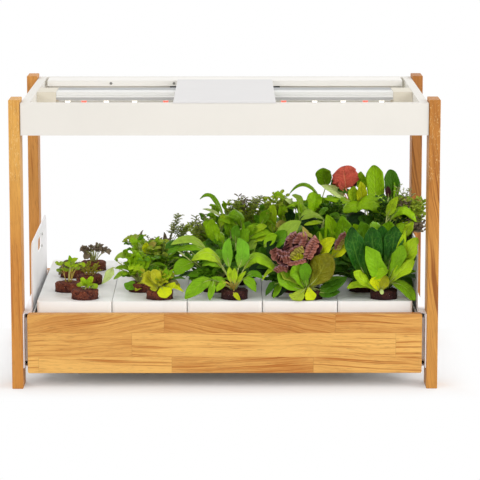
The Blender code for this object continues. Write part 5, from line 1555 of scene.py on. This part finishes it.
class GardenStage(bpy.types.PropertyGroup):
    """Camera and lights."""

    eye: FloatVectorProperty(
        name="Camera place", description="Where the camera stands", default=(0.00692, -3.76273, 0.81285),
        size=3, subtype="XYZ", unit="LENGTH")
    turn: FloatVectorProperty(
        name="Camera turn", description="How the camera is turned", size=3, subtype="EULER",
        default=(math.radians(90 - 9.4537), 0.0, math.radians(-0.2419)))
    lens: FloatProperty(
        name="Focal length", description="Focal length of the camera in millimetres", default=189.375,
        min=20, max=400)
    ambient: FloatProperty(
        name="Ambient", description="Strength of the even light from all round", default=0.66, min=0, max=4)
    key: FloatProperty(
        name="Key light", description="Power of the large light at the left", default=22.0, min=0, max=1000,
        subtype="POWER")
    fill: FloatProperty(
        name="Fill light", description="Power of the light at the right", default=44.0, min=0, max=1000,
        subtype="POWER")
    rear: FloatProperty(
        name="Rear lights", description="Power of each of the two lights behind", default=20.0, min=0,
        max=1000, subtype="POWER")
    floor_reach: FloatProperty(
        name="Floor size", description="Half the width of the floor", default=30.0, min=1, max=200,
        unit="LENGTH")


class GARDEN_OT_oak(bpy.types.Operator):
    """Finish the posts and panels as oiled oak"""

    bl_idname = "garden.oak"
    bl_label = "Oak Posts and Panels"

    def execute(self, context):
        look = context.scene.garden_look
        low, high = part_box("front_panel")
        lines = (low.z - 0.01, *STAVE_LINES, high.z + 0.01)
        rows = [(bottom, top, *marks) for bottom, top, marks in zip(lines, lines[1:], STAVE_ROWS)]
        panel = oak("oak_glued_panel", "X", tuple(look.oak_light), tuple(look.oak_dark), rows)
        dress(panel, "front_panel", "rear_panel")
        for node, (light, dark, slope, flecks, below) in POSTS.items():
            foot = (*POST_FOOT, tint(*below))
            dress(oak("oak_" + node, "Z", tint(*light), tint(*dark), None, slope, flecks, foot), node)
        return {"FINISHED"}


class GARDEN_OT_sheet_steel(bpy.types.Operator):
    """Finish the side frames, covers, lamp frame and brackets as powder-coated steel, with the rear cover's
    coat lightened as painted light and the brackets' coat darkened as painted shade
    """

    bl_idname = "garden.sheet_steel"
    bl_label = "Coated Steel"

    def execute(self, context):
        look = context.scene.garden_look
        dress(coated_steel("white_powder_coat", tuple(look.coat_white)), *SIDE_FRAMES)
        dress(coated_steel("warm_white_powder_coat", tuple(look.coat_cream)), "lamp_frame")
        dress(coated_steel("cover_powder_coat", tuple(look.coat_cover)), "control_cover")
        dress(coated_steel("rear_cover_powder_coat", tuple(look.coat_rear_lit)), "rear_cover")
        dress(coated_steel("bracket_powder_coat", tuple(look.coat_bracket_shaded)), *BRACKETS)
        return {"FINISHED"}


class GARDEN_OT_tank_and_trays(bpy.types.Operator):
    """Finish the water tank, the growing trays and the pump's impeller"""

    bl_idname = "garden.tank_and_trays"
    bl_label = "Tank and Trays"

    def execute(self, context):
        look = context.scene.garden_look
        dress(moulded_plastic("white_moulded_plastic", tuple(look.plastic_white)), *WHITE_MOULDINGS)
        return {"FINISHED"}


class GARDEN_OT_lamp(bpy.types.Operator):
    """Finish the ribbed lamp bar and its lit board"""

    bl_idname = "garden.lamp"
    bl_label = "Lamp Bar"

    def execute(self, context):
        dress(ribbed_bar(), "led_bar")
        dress(lamp_board(), "led_board")
        return {"FINISHED"}


class GARDEN_OT_electrics(bpy.types.Operator):
    """Finish the control board, lamp driver, power inlet, pump and level float"""

    bl_idname = "garden.electrics"
    bl_label = "Electrics and Pump"

    def execute(self, context):
        dress(circuit_board(), "control_board")
        dress(moulded_plastic("black_moulded_plastic", tint(30, 30, 33), 2.0, 0.42), *BLACK_MOULDINGS)
        dress(moulded_plastic("foamed_float", tint(104, 128, 150), 3.0, 0.5), "level_float")
        return {"FINISHED"}


class GARDEN_OT_screws(bpy.types.Operator):
    """Add the screws of the rear cover's lip and of the left end plate"""

    bl_idname = "garden.screws"
    bl_label = "Screws"

    def execute(self, context):
        steel = anodised("screw_steel", tint(150, 148, 144))
        low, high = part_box("rear_cover")
        for number, px in enumerate(COVER_SCREWS, 1):
            place = photo_point(px, COVER_SCREW_ROW, low.y)
            place[2] = (low.z + high.z) / 2
            screw(f"cover_screw_{number}", place, TO_FRONT, COVER_SCREW_RADIUS, steel)
        pale = anodised("plate_screw_steel", tint(206, 205, 203))
        for number, pixel in enumerate(PLATE_SCREWS, 1):
            near, far = (photo_point(*pixel, depth) for depth in PLATE_DEPTHS)
            share = (PLATE_FACE - near[0]) / (far[0] - near[0])
            screw(f"plate_screw_{number}", near + (far - near) * share, TO_RIGHT, PLATE_SCREW_RADIUS, pale)
        return {"FINISHED"}


class GARDEN_OT_plants(bpy.types.Operator):
    """Grow the plants in their root plugs"""

    bl_idname = "garden.plants"
    bl_label = "Root Plugs and Plants"

    def execute(self, context):
        materials = {name: leaf_finish(name, *colours) for name, colours in LEAF_COLOURS.items()}
        materials.update({name: stem_finish(name, *colours) for name, colours in STEM_COLOURS.items()})
        materials.update({name: soil(name, *colours) for name, colours in SOIL_COLOURS.items()})
        names = list(materials)
        for tray in TRAY_NUMBERS:
            for row in ROW_NUMBERS:
                plant = grown(context.scene.garden_look, names, tray, row)
                used = sorted(set(plant.indices))
                where = {index: number for number, index in enumerate(used)}
                piece = add_piece(f"growing_{tray}_{row}", np.concatenate(plant.points), plant.faces,
                                  [materials[names[index]] for index in used],
                                  [where[index] for index in plant.indices], np.concatenate(plant.places),
                                  BODY_OF[f"plug_{tray}_{row}"])
                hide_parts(f"plug_{tray}_{row}")
        return {"FINISHED"}


class GARDEN_OT_stage(bpy.types.Operator):
    """Set up the floor, the studio light and the photograph's camera"""

    bl_idname = "garden.stage"
    bl_label = "Stage, Light and Camera"

    def execute(self, context):
        scene = context.scene
        stage = scene.garden_stage
        scene.view_settings.view_transform = "Standard"
        camera = bpy.data.objects.new("photo_camera", bpy.data.cameras.new("photo_camera"))
        camera.data.lens = stage.lens
        camera.data.sensor_width = SENSOR
        camera.data.clip_end = 100
        camera.location = stage.eye
        camera.rotation_euler = stage.turn
        scene.collection.objects.link(camera)
        scene.camera = camera
        self.floor(scene, stage)
        self.world(scene, stage)
        for name, (place, size, power) in LAMPS.items():
            self.lamp(scene, name, place, size, getattr(stage, power))
        return {"FINISHED"}

    @staticmethod
    def lamp(scene, name, place, size, power):
        """A square soft light that points at the garden."""
        light = bpy.data.lights.new(name, "AREA")
        light.size = size
        light.energy = power
        lamp = bpy.data.objects.new(name, light)
        lamp.location = place
        lamp.rotation_euler = (Vector(LAMP_TARGET) - Vector(place)).to_track_quat("-Z", "Y").to_euler()
        scene.collection.objects.link(lamp)

    @staticmethod
    def floor(scene, stage):
        """A pale floor that keeps the garden's shadow and is white further off."""
        reach = stage.floor_reach
        corners = [(-reach, -reach, 0), (reach, -reach, 0), (reach, reach, 0), (-reach, reach, 0)]
        mesh = bpy.data.meshes.new("floor")
        mesh.from_pydata(corners, [], [(0, 1, 2, 3)])
        finish = Finish("pale_floor", roughness=0.9)
        finish.feed("Base Color", tint(244, 243, 242))
        x, y, z = finish.axes(finish.place())
        out_y = finish.maths("MAXIMUM", y - SHADOW_REAR, (SHADOW_FRONT - y) * FRONT_SHARE)
        away = finish.maths("MAXIMUM", abs(x) - SHADOW_SIDE, out_y)
        white = finish.node("ShaderNodeEmission", None, {"Color": (1, 1, 1, 1), "Strength": 1.0})
        lit = Signal(finish, finish.shader.outputs[0])
        share = finish.ease(away, *FADE) * finish.seen_rays("Is Glossy Ray")
        mixed = finish.node("ShaderNodeMixShader", None, {0: share, 1: lit, 2: white})
        finish.put(finish.tree.nodes["Material Output"].inputs["Surface"], mixed)
        mesh.materials.append(finish.material)
        floor = bpy.data.objects.new("floor", mesh)
        scene.collection.objects.link(floor)

    @staticmethod
    def world(scene, stage):
        """Even light from all round, seen as plain white by the camera and in reflections."""
        world = bpy.data.worlds.new("studio")
        world.use_nodes = True
        scene.world = world
        nodes = Nodes(world.node_tree)
        seen = nodes.seen_rays("Is Glossy Ray", "Is Transmission Ray")
        background = world.node_tree.nodes["Background"]
        nodes.put(background.inputs["Color"], (1.0, 1.0, 1.0, 1.0))
        nodes.put(background.inputs["Strength"], seen * (1.0 - stage.ambient) + stage.ambient)


OPERATORS = (GARDEN_OT_stage, GARDEN_OT_oak, GARDEN_OT_sheet_steel, GARDEN_OT_tank_and_trays, GARDEN_OT_lamp,
             GARDEN_OT_electrics, GARDEN_OT_screws, GARDEN_OT_plants)


class GARDEN_PT_panel(bpy.types.Panel):
    """Lists the garden's settings and steps in the sidebar"""

    bl_idname = "GARDEN_PT_panel"
    bl_label = "Hydroponic Garden"
    bl_space_type = "VIEW_3D"
    bl_region_type = "UI"
    bl_category = "Garden"

    def draw(self, context):
        for group in (context.scene.garden_look, context.scene.garden_stage):
            box = self.layout.box()
            for name in group.__annotations__:
                box.prop(group, name)
        for operator in OPERATORS:
            self.layout.operator(operator.bl_idname)


CLASSES = (GardenLook, GardenStage, *OPERATORS, GARDEN_PT_panel)


def register():
    for cls in CLASSES:
        bpy.utils.register_class(cls)
    bpy.types.Scene.garden_look = PointerProperty(type=GardenLook)
    bpy.types.Scene.garden_stage = PointerProperty(type=GardenStage)


def unregister():
    del bpy.types.Scene.garden_stage
    del bpy.types.Scene.garden_look
    for cls in reversed(CLASSES):
        bpy.utils.unregister_class(cls)


def main():
    register()
    for operator in OPERATORS:
        group, name = operator.bl_idname.split(".")
        getattr(getattr(bpy.ops, group), name)()


if __name__ == "__main__":
    main()
